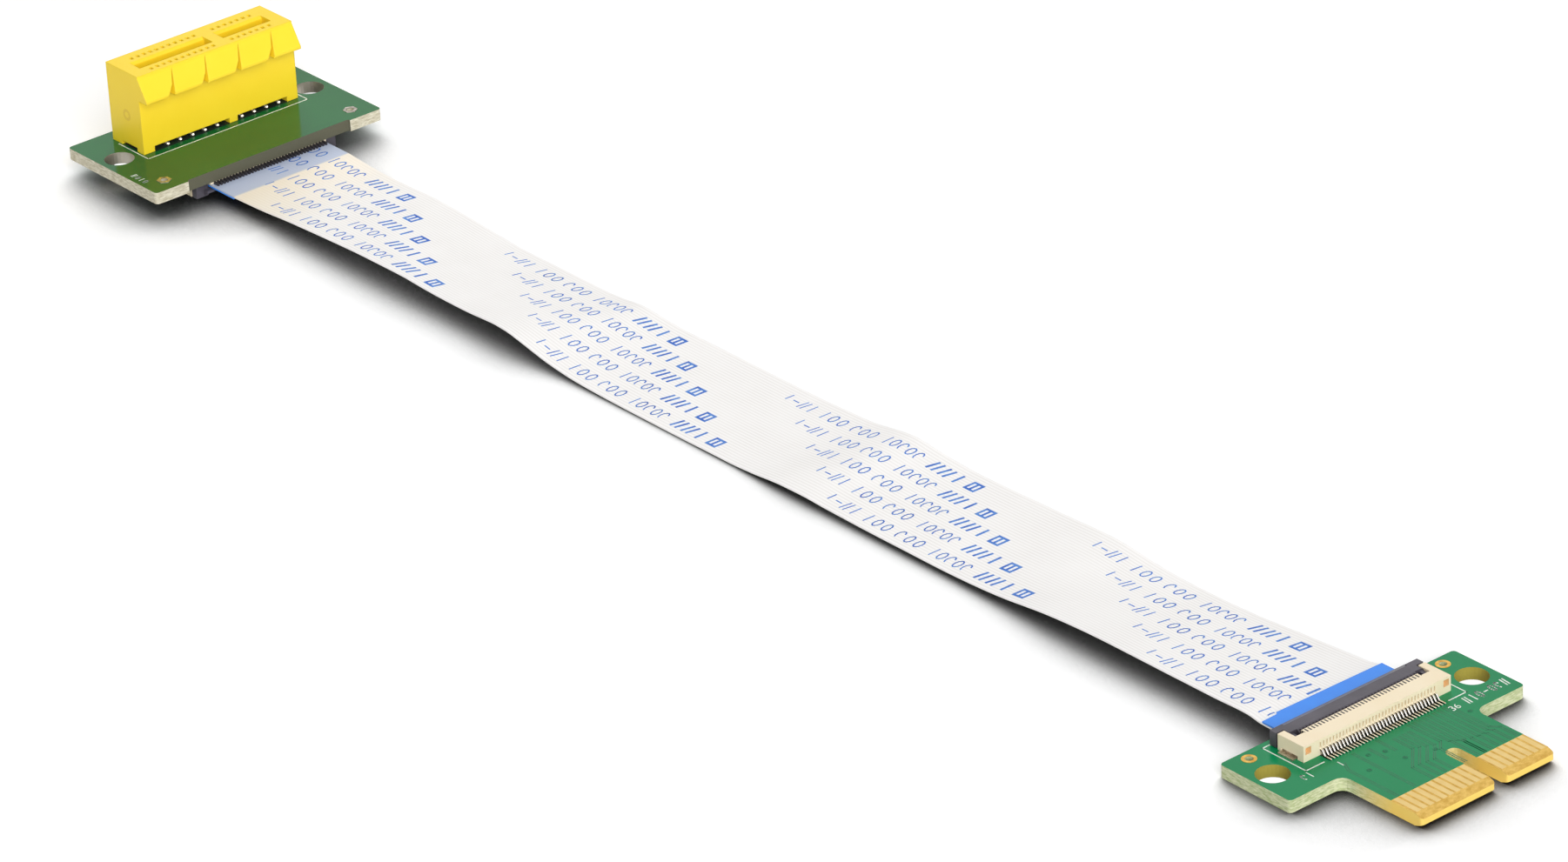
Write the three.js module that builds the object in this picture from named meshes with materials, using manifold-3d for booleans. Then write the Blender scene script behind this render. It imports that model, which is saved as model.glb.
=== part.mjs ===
// A one-lane riser: a card slot on a small board, a flat flexible cable, and an edge board.
// Millimetres. X runs from the slot board to the fingers, Y across the boards, Z up from the table.
// The origin is on the table, midway between the slot board's back edge and the tip of the finger tab.
import * as THREE from "three";
import { mergeVertices } from "three/addons/utils/BufferGeometryUtils.js";
import Module from "manifold-3d";

const wasm = await Module();
wasm.setup();

// Both boards
const boardThickness = 1.6;
const boardGap = 199.8; // between the facing edges of the two boards
const boardCornerRadius = 0.5;
const cornerSegments = 4;
const mountingHoleDiameter = 4.0;
const mountingHoleSides = 28;
const smallHoleSides = 12;

// Slot board
const slotBoardDepth = 20.0;
const slotBoardWidth = 36.5;
const slotBoardHoleFromBack = 7.75;
const slotBoardHoleSpacing = 30.9;
const frontRecessDepth = 0.4; // the routed step along the front edge
const frontRecessWidth = 26.2;
const frontRecessRadius = 0.35;
const tinnedPadFromBack = 17.35;
const tinnedPadSpacing = 30.2;
const smallHoleDiameter = 1.0;

// Card slot
const slotFromBack = 2.15; // from the board's back edge to the housing's back face
const slotLength = 25.0;
const slotDepth = 7.1;
const slotHeight = 11.2;
const slitFromBack = 3.87; // from the housing's back face to the middle of the slit
const slitWidth = 1.75;
const slitFloor = 3.2;
const slitLength = 21.2;
const slitLeadIn = 0.35;
const keyCentre = 2.0; // the bridge that fits the notch of a card
const keyWidth = 1.7;
const ledgeReach = 1.7; // how far the sloped ledge stands out at the front
const ledgeFoot = 7.7; // height of the ledge's lower edge
const ledgeTop = 10.9;
const grooveCount = 4;
const groovePitch = 5.35;
const grooveShift = 0.07;
const grooveWidthBelow = 1.5;
const grooveWidthAbove = 0.2;
const grooveLean = 1.0; // how far the steep wall of a groove leans over its height
const grooveFloorShare = 0.25; // width of a groove at its floor against its mouth
const ledgeLip = 0.35; // upright part of the ledge's edge
const footHeight = 0.75;
const footLength = 1.75;
const centreFootWidth = 1.3;
const endArchHeight = 0.55;
const endArchWidth = 3.4;

// Contacts of the slot: two rows of 18, with a gap in the numbering at the key
const contactPitch = 1.0;
const contactsBeforeKey = 11;
const contactsAfterKey = 7;
const keySkip = 2; // pitches that the key takes up
const contactWidth = 0.34;
const contactStock = 0.26;
const contactStem = 2.23; // from the middle of the slit
const contactTop = 9.4;
const contactBump = 0.72; // from the middle of the slit to the bump that presses on a card
const bumpHeight = 8.0;
const contactBaseLift = 0.15; // the contact's base above the feet's height
const contactBaseHeight = 0.9;
const contactClearance = 0.14;
const chamberTop = 9.6;
const chamberFrom = 0.6;
const viewHoleLength = 0.62;
const viewHoleWidth = 0.44;
const tailOuter = 2.4;
const tailInner = 1.05;
const tailSize = 0.4;
const tailReach = 1.8; // below the board
const tailHoleDiameter = 0.85;
const tailHoleSides = 6;
const solderDiameter = 1.3;
const solderHeight = 0.6;
const solderSides = 6;

// Edge board
const edgeBodyDepth = 11.15;
const edgeBoardWidth = 36.0;
const tabLength = 12.25;
const tabWidth = 20.3;
const tabInnerRadius = 1.3;
const tabCornerCut = 0.4;
const notchWidth = 1.9;
const notchFlat = 0.1; // straight part of the notch's rounded end
const notchDepth = 8.2;
const bevelLength = 1.15;
const bevelDepth = 0.42;
const edgeHoleFromBack = 5.6;
const edgeHoleSpacing = 30.6;
const testHoleFromBack = 1.45;
const testHoleSpacing = 29.8;
const fingerWidth = 0.7;
const fingerFromTip = 1.0;
const maskFromTip = 4.77; // bare laminate and fingers end here, the solder mask begins
const platingStep = 0.03;

// Ribbon sockets, the same on both boards: lead side at x = 0, cable side towards -x
const socketHeight = 2.0;
const socketLength = 22.6;
const socketArmWidth = 1.0;
const socketArmDepth = 4.1;
const socketBeamDepth = 2.85;
const socketPocketDepth = 2.3; // the beam is thinner beside each arm
const socketCombLength = 17.9;
const socketFloor = 0.35;
const socketFloorDepth = 5.9;
const cableSlotHeight = 0.6;
const cableSlotEnd = 0.9; // from the socket's front to the end wall of its cable slot
const cableSideGap = 0.1;
const leadCount = 36;
const leadPitch = 0.5;
const leadWidth = 0.22;
const leadStock = 0.15;
const leadReach = 1.75;
const leadHeight = 0.75;
const leadShoulder = 0.32; // where a lead turns down
const leadHeel = 0.62; // where it meets its pad
const leadRoot = 0.2; // how far it goes into the housing
const faceSlitWidth = 0.2;
const faceSlitDepth = 0.3;
const faceSlitFrom = 0.95;
const faceSlitTo = 1.6;
const frontPocketSize = 0.85;
const frontPocketDepth = 0.8;
const frontPocketFloor = 0.85;
const frontPocketFromEnd = 0.3;
const tabRecessDepth = 0.7;
const tabRecessHeight = 0.45;
const tabRecessGap = 0.1; // round each solder tab

// Flip lock of a socket
const lockRadius = 0.5; // half of its thickness at the hinge
const lockHingeHeight = 1.45;
const lockHingeBehindBeam = 0.6;
const lockSideGap = 0.15;
const lockFlatLength = 1.55;
const lockReach = 2.75;
const lockLipThickness = 0.35;
const lockLegFrom = 0.9; // from the hinge to the front of each end leg
const lockLegDepth = 1.0;
const lockLegWidth = 1.85;
const lockLegLift = 0.12;
const lockNotchWidth = 0.28;
const lockNotchDepth = 0.35;
const lockEarReach = 0.85;
const lockEarWidth = 0.5;
const lockPinRadius = 0.28;
const lockPinLength = 0.5;
const lockPinClearance = 0.1;
const lockPinRoot = 0.2; // how far each pin goes into the lock
const lockPinSides = 24;
const lockNotchedMargin = 0.1; // the notched stretch runs this far past the beam's comb
const lockArcSteps = 6;

// Solder tabs at the ends of a socket
const solderTabLength = 2.4;
const solderTabReach = 0.65;
const solderTabThickness = 0.2;
const solderTabFromFront = 1.05;
const solderTabLip = 0.2;
const solderTabLipHeight = 0.4;
const solderTabInset = 0.5;

// Where the sockets sit: from each board's back edge to the socket's lead side
const slotSocketFromBack = 13.55;
const edgeSocketFromBack = 6.3;

// Flat flexible cable
const cableWidth = 18.5;
const cableThickness = 0.2;
const cableInSocket = 0.5; // height of its middle above the board's face
const cableEndFromFront = 1.3;
const cableSteps = 72;
const stiffenerThickness = 0.2;
const stiffenerGap = 0.03;
const edgeStiffenerShown = 2.6; // past the edge board
const slotStiffenerShown = 4.4; // past the slot board

// The cable's middle line from the slot socket to the edge socket, as x and z
const cableRoute = [
  [-106.75, 1.5], [-102, 1.5], [-98.5, 1.5], [-96.6, 1.5], [-94, 1.44], [-90, 1.43],
  [-84, 1.62], [-78, 1.82], [-71, 1.8], [-64, 1.6], [-56, 1.36], [-48, 1.32],
  [-41, 1.45], [-36, 1.3], [-31.5, 0.75], [-27, 0.38], [-20, 0.24], [-10, 0.2],
  [0, 0.24], [8, 0.48], [13.5, 1.05], [17, 1.2], [21, 0.95], [27, 0.72],
  [36, 0.76], [44, 0.88], [52, 1.15], [60, 1.18], [68, 1.28], [76, 1.42],
  [83, 1.68], [89, 1.9], [92.5, 2.06], [95.5, 2.1], [99, 2.1], [103.2, 2.1],
];

// Worked out from the sizes above
const edgeBoardDepth = edgeBodyDepth + tabLength;
const overallLength = slotBoardDepth + boardGap + edgeBoardDepth;
const slotBoardBack = -overallLength / 2;
const edgeBoardBack = overallLength / 2 - edgeBoardDepth;
const slotBoardLift = socketHeight; // the slot board stands on the socket under it
const cut = 1; // how far a cutting solid runs past the face that it opens

// Colours and finishes
const finishes = {
  slotMask: { color: 0x3c7d45, roughness: 0.35, metalness: 0 },
  edgeMask: { color: 0x2f9a6a, roughness: 0.35, metalness: 0 },
  yellow: { color: 0xf6d133, roughness: 0.45, metalness: 0 },
  contact: { color: 0xd8d2c4, roughness: 0.3, metalness: 1 },
  cream: { color: 0xf3e4c8, roughness: 0.5, metalness: 0 },
  lock: { color: 0x3d3a40, roughness: 0.5, metalness: 0 },
  tin: { color: 0xb7aea4, roughness: 0.4, metalness: 1 },
  cable: { color: 0xf2f0ea, roughness: 0.4, metalness: 0 },
  stiffener: { color: 0x3c96ff, roughness: 0.35, metalness: 0 },
};

// Solids from geometry, and meshes from solids
function solid(geometry) {
  const bare = geometry.index ? geometry.toNonIndexed() : geometry.clone();
  bare.deleteAttribute("normal");
  bare.deleteAttribute("uv");
  const merged = mergeVertices(bare, 1e-4);
  const triVerts = new Uint32Array(merged.index.array);
  const vertProperties = merged.attributes.position.array;
  return new wasm.Manifold(new wasm.Mesh({ numProp: 3, vertProperties, triVerts }));
}

function geometryOf(body) {
  const mesh = body.getMesh();
  const geometry = new THREE.BufferGeometry();
  geometry.setAttribute("position", new THREE.BufferAttribute(mesh.vertProperties, 3));
  geometry.setIndex(new THREE.BufferAttribute(mesh.triVerts, 1));
  geometry.computeVertexNormals();
  return geometry;
}

function piece(name, body, finish) {
  const geometry = body.isBufferGeometry ? body : geometryOf(body);
  const mesh = new THREE.Mesh(geometry, new THREE.MeshStandardMaterial(finishes[finish]));
  mesh.name = name;
  return mesh;
}

function union(bodies) {
  return bodies.reduce((whole, body) => whole.add(body));
}

function block(x0, x1, y0, y1, z0, z1) {
  const geometry = new THREE.BoxGeometry(x1 - x0, y1 - y0, z1 - z0);
  return solid(geometry.translate((x0 + x1) / 2, (y0 + y1) / 2, (z0 + z1) / 2));
}

function drill(x, y, z0, z1, diameter, sides) {
  const geometry = new THREE.CylinderGeometry(diameter / 2, diameter / 2, z1 - z0, sides);
  return solid(geometry.rotateX(Math.PI / 2).translate(x, y, (z0 + z1) / 2));
}

// A plate with the outline's corners rounded. Each corner is x, y and a radius.
function plate(corners, thickness) {
  const arcHandle = 0.5523; // control point of a quarter circle, as a share of its radius
  const shape = new THREE.Shape();
  corners.forEach(([x, y, radius], i) => {
    const [px, py] = corners[(i + corners.length - 1) % corners.length];
    const [nx, ny] = corners[(i + 1) % corners.length];
    const before = new THREE.Vector2(px - x, py - y).normalize();
    const after = new THREE.Vector2(nx - x, ny - y).normalize();
    const start = [x + before.x * radius, y + before.y * radius];
    const end = [x + after.x * radius, y + after.y * radius];
    if (i === 0) shape.moveTo(start[0], start[1]);
    else shape.lineTo(start[0], start[1]);
    if (radius === 0) return;
    const pull = 1 - arcHandle;
    shape.bezierCurveTo(
      x + before.x * radius * pull, y + before.y * radius * pull,
      x + after.x * radius * pull, y + after.y * radius * pull,
      end[0], end[1],
    );
  });
  const geometry = new THREE.ExtrudeGeometry(shape, {
    depth: thickness, bevelEnabled: false, curveSegments: cornerSegments,
  });
  return solid(geometry);
}

// A profile in X and Z, drawn along Y
function profileAlongY(points, y0, y1) {
  const shape = new THREE.Shape(points.map(([x, z]) => new THREE.Vector2(x, z)));
  const geometry = new THREE.ExtrudeGeometry(shape, { depth: y1 - y0, bevelEnabled: false });
  return solid(geometry.rotateX(Math.PI / 2).translate(0, y1, 0));
}

function withoutRepeats(points) {
  return points.filter(([x, z], i) => {
    const [px, pz] = points[(i + points.length - 1) % points.length];
    return Math.hypot(x - px, z - pz) > 1e-6;
  });
}

// Contact positions across the slot, and the fingers that meet them
function contactPlaces() {
  const places = [];
  const first = keyCentre + contactPitch / 2 - (keySkip / 2 + contactsBeforeKey) * contactPitch;
  for (let i = 0; i < contactsBeforeKey + contactsAfterKey; i++) {
    const skip = i < contactsBeforeKey ? 0 : keySkip;
    places.push(first + (i + skip) * contactPitch);
  }
  return places;
}

// One contact, seen from the slit's middle: side is -1 for the back row and 1 for the front row
function contactBody(y, side, tailOffset) {
  const stemIn = contactStem - contactStock / 2;
  const stemOut = contactStem + contactStock / 2;
  const baseLow = footHeight + contactBaseLift;
  const baseHigh = baseLow + contactBaseHeight;
  const tailIn = tailOffset - tailSize / 2;
  const tailOut = tailOffset + tailSize / 2;
  const tailEnd = -boardThickness - tailReach;
  const baseIn = Math.min(tailIn, contactBump + contactStock);
  const baseOut = Math.max(tailOut, stemOut);
  const beam = baseIn + contactStock;
  const beamTop = chamberTop - contactClearance;
  const outline = [
    [tailIn, tailEnd], [tailOut, tailEnd], [tailOut, baseLow], [baseOut, baseLow],
    [baseOut, baseHigh], [stemOut, baseHigh], [stemOut, contactTop], [stemIn, contactTop],
    [stemIn, baseHigh], [beam, baseHigh], [contactBump + contactStock, bumpHeight],
    [beam, beamTop], [beam - contactStock, beamTop], [contactBump, bumpHeight],
    [baseIn, baseLow], [tailIn, baseLow],
  ];
  const sided = withoutRepeats(outline).map(([x, z]) => [side * x, z]);
  const blade = profileAlongY(sided, y - contactWidth / 2, y + contactWidth / 2);
  const cone = new THREE.CylinderGeometry(solderDiameter / 2, tailSize / 2, solderHeight, solderSides);
  cone.rotateX(Math.PI / 2);
  cone.translate(side * tailOffset, y, -boardThickness - solderHeight / 2);
  return blade.add(solid(cone));
}

// Tails stand in two staggered rows: even contacts outside, odd ones inside
function tailOf(index) {
  return index % 2 === 1 ? tailOuter : tailInner;
}

function slotContacts() {
  const group = new THREE.Group();
  for (const [row, side] of [["a", -1], ["b", 1]]) {
    contactPlaces().forEach((y, i) => {
      const name = "slot_contact_" + row + String(i + 1).padStart(2, "0");
      group.add(piece(name, contactBody(y, side, tailOf(i)), "contact"));
    });
  }
  return group;
}

// The sloped ledge on the front face, with its tapered grooves
function slotLedge(front) {
  const half = slotLength / 2;
  const outer = [
    [front - cut, ledgeFoot], [front + ledgeReach, ledgeFoot],
    [front + ledgeReach, ledgeFoot + ledgeLip], [front, ledgeTop], [front - cut, ledgeTop],
  ];
  const ledge = profileAlongY(outer, -half, half);
  const grooves = [];
  for (let i = 0; i < grooveCount; i++) {
    const steepBelow = (i - (grooveCount - 1) / 2) * groovePitch + grooveShift;
    const steepAbove = steepBelow + grooveLean;
    const mouth = [
      [steepBelow - grooveWidthBelow, ledgeFoot - cut], [steepBelow, ledgeFoot - cut],
      [steepBelow, ledgeFoot], [steepAbove, ledgeTop],
      [steepAbove - grooveWidthAbove, ledgeTop], [steepBelow - grooveWidthBelow, ledgeFoot],
    ];
    const shape = new THREE.Shape(mouth.map(([u, v]) => new THREE.Vector2(u, v)));
    const depth = ledgeReach + cut;
    const geometry = new THREE.ExtrudeGeometry(shape, { depth, bevelEnabled: false });
    taperGroove(geometry, steepBelow);
    // The shape's own x and y become Y and Z, and its depth becomes X
    geometry.applyMatrix4(new THREE.Matrix4().makeBasis(
      new THREE.Vector3(0, 1, 0), new THREE.Vector3(0, 0, 1), new THREE.Vector3(1, 0, 0),
    ));
    grooves.push(solid(geometry.translate(front, 0, 0)));
  }
  return ledge.subtract(union(grooves));
}

// A groove is narrower at its floor, where its depth is 0: it closes up to its steep wall
function taperGroove(geometry, steepBelow) {
  const position = geometry.getAttribute("position");
  for (let i = 0; i < position.count; i++) {
    const above = Math.max(position.getY(i) - ledgeFoot, 0) / (ledgeTop - ledgeFoot);
    const steep = steepBelow + grooveLean * above;
    const share = position.getZ(i) === 0 ? grooveFloorShare : 1;
    position.setX(i, steep + (position.getX(i) - steep) * share);
  }
}

function slitStretch(y0, y1) {
  const half = slitWidth / 2;
  const mouth = half + slitLeadIn;
  return profileAlongY([
    [slitFromBack - half, slitFloor], [slitFromBack + half, slitFloor],
    [slitFromBack + half, slotHeight - slitLeadIn], [slitFromBack + mouth, slotHeight],
    [slitFromBack + mouth, slotHeight + cut], [slitFromBack - mouth, slotHeight + cut],
    [slitFromBack - mouth, slotHeight], [slitFromBack - half, slotHeight - slitLeadIn],
  ], y0, y1);
}

function slotHousing() {
  const half = slotLength / 2;
  const front = slotDepth;
  const body = block(0, front, -half, half, 0, slotHeight).add(slotLedge(front));
  const keyLow = keyCentre - keyWidth / 2;
  const keyHigh = keyCentre + keyWidth / 2;
  const cuts = [
    slitStretch(-slitLength / 2, keyLow),
    slitStretch(keyHigh, slitLength / 2),
    block(-cut, front + cut, -half + footLength, keyCentre - centreFootWidth / 2, -cut, footHeight),
    block(-cut, front + cut, keyCentre + centreFootWidth / 2, half - footLength, -cut, footHeight),
    block(
      slitFromBack - endArchWidth / 2, slitFromBack + endArchWidth / 2,
      -half - cut, -half + footLength + cut, -cut, endArchHeight,
    ),
    block(
      slitFromBack - endArchWidth / 2, slitFromBack + endArchWidth / 2,
      half - footLength - cut, half + cut, -cut, endArchHeight,
    ),
  ];
  const chamberHalf = contactWidth / 2 + contactClearance;
  const stemOut = contactStem + contactStock / 2;
  const chamberOut = Math.max(stemOut, tailOuter + tailSize / 2) + contactClearance;
  const along = viewHoleLength / 2;
  const across = viewHoleWidth / 2;
  for (const side of [-1, 1]) {
    for (const y of contactPlaces()) {
      const near = slitFromBack + side * chamberFrom;
      const far = slitFromBack + side * chamberOut;
      const low = Math.min(near, far);
      const high = Math.max(near, far);
      cuts.push(block(low, high, y - chamberHalf, y + chamberHalf, footHeight - cut, chamberTop));
      const x = slitFromBack + side * contactStem;
      cuts.push(block(
        x - along, x + along, y - across, y + across, chamberTop - cut, slotHeight + cut,
      ));
    }
  }
  return body.subtract(union(cuts));
}

function slotBoard() {
  const half = slotBoardWidth / 2;
  const recess = frontRecessWidth / 2;
  const front = slotBoardDepth;
  const step = slotBoardDepth - frontRecessDepth;
  const body = plate([
    [0, -half, boardCornerRadius], [front, -half, boardCornerRadius],
    [front, -recess, 0], [step, -recess, frontRecessRadius],
    [step, recess, frontRecessRadius], [front, recess, 0],
    [front, half, boardCornerRadius], [0, half, boardCornerRadius],
  ], boardThickness);
  const holes = [];
  const through = [-cut, boardThickness + cut];
  for (const side of [-1, 1]) {
    const mountY = (side * slotBoardHoleSpacing) / 2;
    const padY = (side * tinnedPadSpacing) / 2;
    holes.push(drill(slotBoardHoleFromBack, mountY, ...through, mountingHoleDiameter, mountingHoleSides));
    holes.push(drill(tinnedPadFromBack, padY, ...through, smallHoleDiameter, smallHoleSides));
    contactPlaces().forEach((y, i) => {
      const x = slotFromBack + slitFromBack + side * tailOf(i);
      holes.push(drill(x, y, ...through, tailHoleDiameter, tailHoleSides));
    });
  }
  return body.subtract(union(holes));
}

// Everything on the tab's face that is neither mask nor finger lies one plating step lower
function bareLaminate(low, high) {
  const tip = edgeBoardDepth;
  const half = tabWidth / 2 + cut;
  const field = block(tip - maskFromTip, tip + cut, -half, half, low, high);
  const fingers = contactPlaces().map((y) => block(
    tip - maskFromTip - cut, tip - fingerFromTip, y - fingerWidth / 2, y + fingerWidth / 2,
    low - cut, high + cut,
  ));
  return field.subtract(union(fingers));
}

function edgeBoard() {
  const half = edgeBoardWidth / 2;
  const tab = tabWidth / 2;
  const tip = edgeBoardDepth;
  const notchLow = keyCentre - notchWidth / 2;
  const notchHigh = keyCentre + notchWidth / 2;
  const notchEnd = tip - notchDepth;
  const notchRadius = (notchWidth - notchFlat) / 2;
  const body = plate([
    [0, -half, boardCornerRadius], [edgeBodyDepth, -half, boardCornerRadius],
    [edgeBodyDepth, -tab, tabInnerRadius], [tip, -tab, tabCornerCut],
    [tip, notchLow, tabCornerCut], [notchEnd, notchLow, notchRadius],
    [notchEnd, notchHigh, notchRadius], [tip, notchHigh, tabCornerCut],
    [tip, tab, tabCornerCut], [edgeBodyDepth, tab, tabInnerRadius],
    [edgeBodyDepth, half, boardCornerRadius], [0, half, boardCornerRadius],
  ], boardThickness);
  const cuts = [
    bareLaminate(boardThickness - platingStep, boardThickness + cut),
    bareLaminate(-cut, platingStep),
    profileAlongY([
      [tip - bevelLength, boardThickness + cut], [tip - bevelLength, boardThickness],
      [tip, boardThickness - bevelDepth], [tip + cut, boardThickness - bevelDepth],
      [tip + cut, boardThickness + cut],
    ], -half, half),
    profileAlongY([
      [tip - bevelLength, -cut], [tip + cut, -cut], [tip + cut, bevelDepth],
      [tip, bevelDepth], [tip - bevelLength, 0],
    ], -half, half),
  ];
  const through = [-cut, boardThickness + cut];
  for (const side of [-1, 1]) {
    const mountY = (side * edgeHoleSpacing) / 2;
    const testY = (side * testHoleSpacing) / 2;
    cuts.push(drill(edgeHoleFromBack, mountY, ...through, mountingHoleDiameter, mountingHoleSides));
    cuts.push(drill(testHoleFromBack, testY, ...through, smallHoleDiameter, smallHoleSides));
  }
  return body.subtract(union(cuts));
}

function leadPlaces() {
  return Array.from({ length: leadCount }, (_, i) => (i - (leadCount - 1) / 2) * leadPitch);
}

// Middle of the lock's hinge, behind the socket's beam
const hingeX = -socketBeamDepth - lockHingeBehindBeam;

function lead(y) {
  const leadUnder = leadHeight - leadStock;
  const outline = [
    [leadShoulder, leadHeight], [leadHeel + leadStock, leadStock],
    [leadReach, leadStock], [leadReach, 0], [leadHeel, 0], [leadShoulder - leadStock, leadUnder],
    [-leadRoot, leadUnder], [-leadRoot, leadHeight],
  ];
  return profileAlongY(outline, y - leadWidth / 2, y + leadWidth / 2);
}

function socketHousing() {
  const half = socketLength / 2;
  const armIn = half - socketArmWidth;
  const comb = socketCombLength / 2;
  const slotTop = socketFloor + cableSlotHeight;
  const slotHalf = cableWidth / 2 + cableSideGap;
  const parts = [
    block(-socketPocketDepth, 0, -half, half, 0, socketHeight),
    block(-socketBeamDepth, 0, -comb, comb, 0, socketHeight),
    block(-socketFloorDepth, 0, -slotHalf, slotHalf, 0, socketFloor),
    block(-socketArmDepth, 0, -half, -armIn, 0, socketHeight),
    block(-socketArmDepth, 0, armIn, half, 0, socketHeight),
  ];
  const cuts = [
    block(-socketBeamDepth - cut, -cableSlotEnd, -slotHalf, slotHalf, socketFloor, slotTop),
  ];
  for (const side of [-1, 1]) {
    const outer = side * half;
    const pocketFar = outer - side * frontPocketFromEnd;
    const pocketNear = pocketFar - side * frontPocketSize;
    const pocketLow = Math.min(pocketFar, pocketNear);
    const pocketHigh = Math.max(pocketFar, pocketNear);
    cuts.push(block(
      -frontPocketDepth, cut, pocketLow, pocketHigh,
      frontPocketFloor, frontPocketFloor + frontPocketSize,
    ));
    const recessLow = Math.min(outer - side * tabRecessDepth, outer + side * cut);
    const recessHigh = Math.max(outer - side * tabRecessDepth, outer + side * cut);
    const recessFront = -solderTabFromFront + tabRecessGap;
    const recessBack = -solderTabFromFront - solderTabLength - tabRecessGap;
    cuts.push(block(recessBack, recessFront, recessLow, recessHigh, -cut, tabRecessHeight));
    const pin = new THREE.CylinderGeometry(
      lockPinRadius + lockPinClearance, lockPinRadius + lockPinClearance,
      lockPinLength + lockPinClearance + lockSideGap + cut, lockPinSides,
    );
    const pinMiddle = armIn + (lockPinLength + lockPinClearance - lockSideGap - cut) / 2;
    cuts.push(solid(pin.translate(hingeX, side * pinMiddle, lockHingeHeight)));
  }
  for (const y of leadPlaces()) {
    cuts.push(block(
      -faceSlitDepth, cut, y - faceSlitWidth / 2, y + faceSlitWidth / 2,
      faceSlitFrom, faceSlitTo,
    ));
  }
  return union(parts).subtract(union(cuts)).add(union(leadPlaces().map(lead)));
}

// The lock turns about its inner end, which is round, so that nothing dips into the cable as it opens
function socketLock() {
  const top = lockHingeHeight + lockRadius;
  const bottom = lockHingeHeight - lockRadius;
  const armIn = socketLength / 2 - socketArmWidth;
  const plateHalf = armIn - lockSideGap;
  const legOut = socketLength / 2;
  const profile = [];
  for (let i = 0; i <= lockArcSteps; i++) {
    const turn = -Math.PI / 2 + (Math.PI * i) / lockArcSteps;
    const x = hingeX + lockRadius * Math.cos(turn);
    profile.push([x, lockHingeHeight + lockRadius * Math.sin(turn)]);
  }
  profile.push([hingeX - lockFlatLength, top]);
  profile.push([hingeX - lockReach, bottom + lockLipThickness]);
  profile.push([hingeX - lockReach, bottom]);
  const notchedHalf = socketCombLength / 2 + lockNotchedMargin;
  const parts = [
    profileAlongY(profile, -notchedHalf, notchedHalf),
  ];
  const legFront = hingeX - lockLegFrom;
  for (const side of [-1, 1]) {
    const inner = side * (legOut - lockLegWidth);
    const outer = side * legOut;
    const shoulder = withoutRepeats(profile.map(([x, z]) => [Math.min(x, hingeX), z]));
    const ends = [side * notchedHalf, side * plateHalf].sort((a, b) => a - b);
    parts.push(profileAlongY(shoulder, ends[0], ends[1]));
    parts.push(block(
      legFront - lockLegDepth, legFront, Math.min(inner, outer), Math.max(inner, outer),
      lockLegLift, top,
    ));
    const earIn = side * (plateHalf - lockEarWidth);
    const earOut = side * plateHalf;
    parts.push(block(
      hingeX - lockRadius, hingeX + lockEarReach, Math.min(earIn, earOut), Math.max(earIn, earOut),
      lockHingeHeight - lockPinRadius, lockHingeHeight + lockPinRadius,
    ));
    const pinWhole = lockPinLength + lockSideGap + lockPinRoot;
    const pin = new THREE.CylinderGeometry(
      lockPinRadius, lockPinRadius, pinWhole, lockPinSides,
    );
    const pinMiddle = armIn + lockPinLength - pinWhole / 2;
    parts.push(solid(pin.translate(hingeX, side * pinMiddle, lockHingeHeight)));
  }
  const notches = leadPlaces().map((y) => block(
    hingeX + lockRadius - lockNotchDepth, hingeX + lockRadius + cut,
    y - lockNotchWidth / 2, y + lockNotchWidth / 2, bottom - cut, top + cut,
  ));
  return union(parts).subtract(union(notches));
}

function solderTab(side) {
  const half = socketLength / 2;
  const front = -solderTabFromFront;
  const back = front - solderTabLength;
  const inner = side * (half - solderTabInset);
  const outer = side * (half + solderTabReach);
  const foot = block(back, front, Math.min(inner, outer), Math.max(inner, outer), 0, solderTabThickness);
  const lipOut = inner + side * solderTabLip;
  const lip = block(
    back, front, Math.min(inner, lipOut), Math.max(inner, lipOut), 0, solderTabLipHeight,
  );
  return foot.add(lip);
}

function ribbonSocket(prefix) {
  const group = new THREE.Group();
  group.add(piece(prefix + "_ribbon_socket", socketHousing(), "cream"));
  group.add(piece(prefix + "_ribbon_lock", socketLock(), "lock"));
  group.add(piece(prefix + "_solder_tab_left", solderTab(-1), "tin"));
  group.add(piece(prefix + "_solder_tab_right", solderTab(1), "tin"));
  return group;
}

function ribbonCable() {
  const halfWidth = cableWidth / 2;
  const halfThick = cableThickness / 2;
  // Along this route the section's own x points down and its y points across the cable
  const section = new THREE.Shape([
    new THREE.Vector2(-halfThick, -halfWidth), new THREE.Vector2(halfThick, -halfWidth),
    new THREE.Vector2(halfThick, halfWidth), new THREE.Vector2(-halfThick, halfWidth),
  ]);
  const path = new THREE.CatmullRomCurve3(cableRoute.map(([x, z]) => new THREE.Vector3(x, 0, z)));
  return solid(new THREE.ExtrudeGeometry(section, { steps: cableSteps, extrudePath: path }));
}

// Stiffening tape: above the cable at the edge board, below it at the slot board
function stiffeners() {
  const half = cableWidth / 2;
  const group = new THREE.Group();
  const away = cableThickness / 2 + stiffenerGap;
  const edgeMiddle = boardThickness + cableInSocket;
  const edgeEnd = edgeBoardBack + edgeSocketFromBack - cableEndFromFront;
  const edge = block(
    edgeBoardBack - edgeStiffenerShown, edgeEnd, -half, half,
    edgeMiddle + away, edgeMiddle + away + stiffenerThickness,
  );
  const slotMiddle = slotBoardLift - cableInSocket;
  const slotEnd = slotBoardBack + slotSocketFromBack + cableEndFromFront;
  const slot = block(
    slotEnd, slotBoardBack + slotBoardDepth + slotStiffenerShown, -half, half,
    slotMiddle - away - stiffenerThickness, slotMiddle - away,
  );
  group.add(piece("edge_end_stiffener", edge, "stiffener"));
  group.add(piece("slot_end_stiffener", slot, "stiffener"));
  return group;
}

const riser = new THREE.Group();

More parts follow.
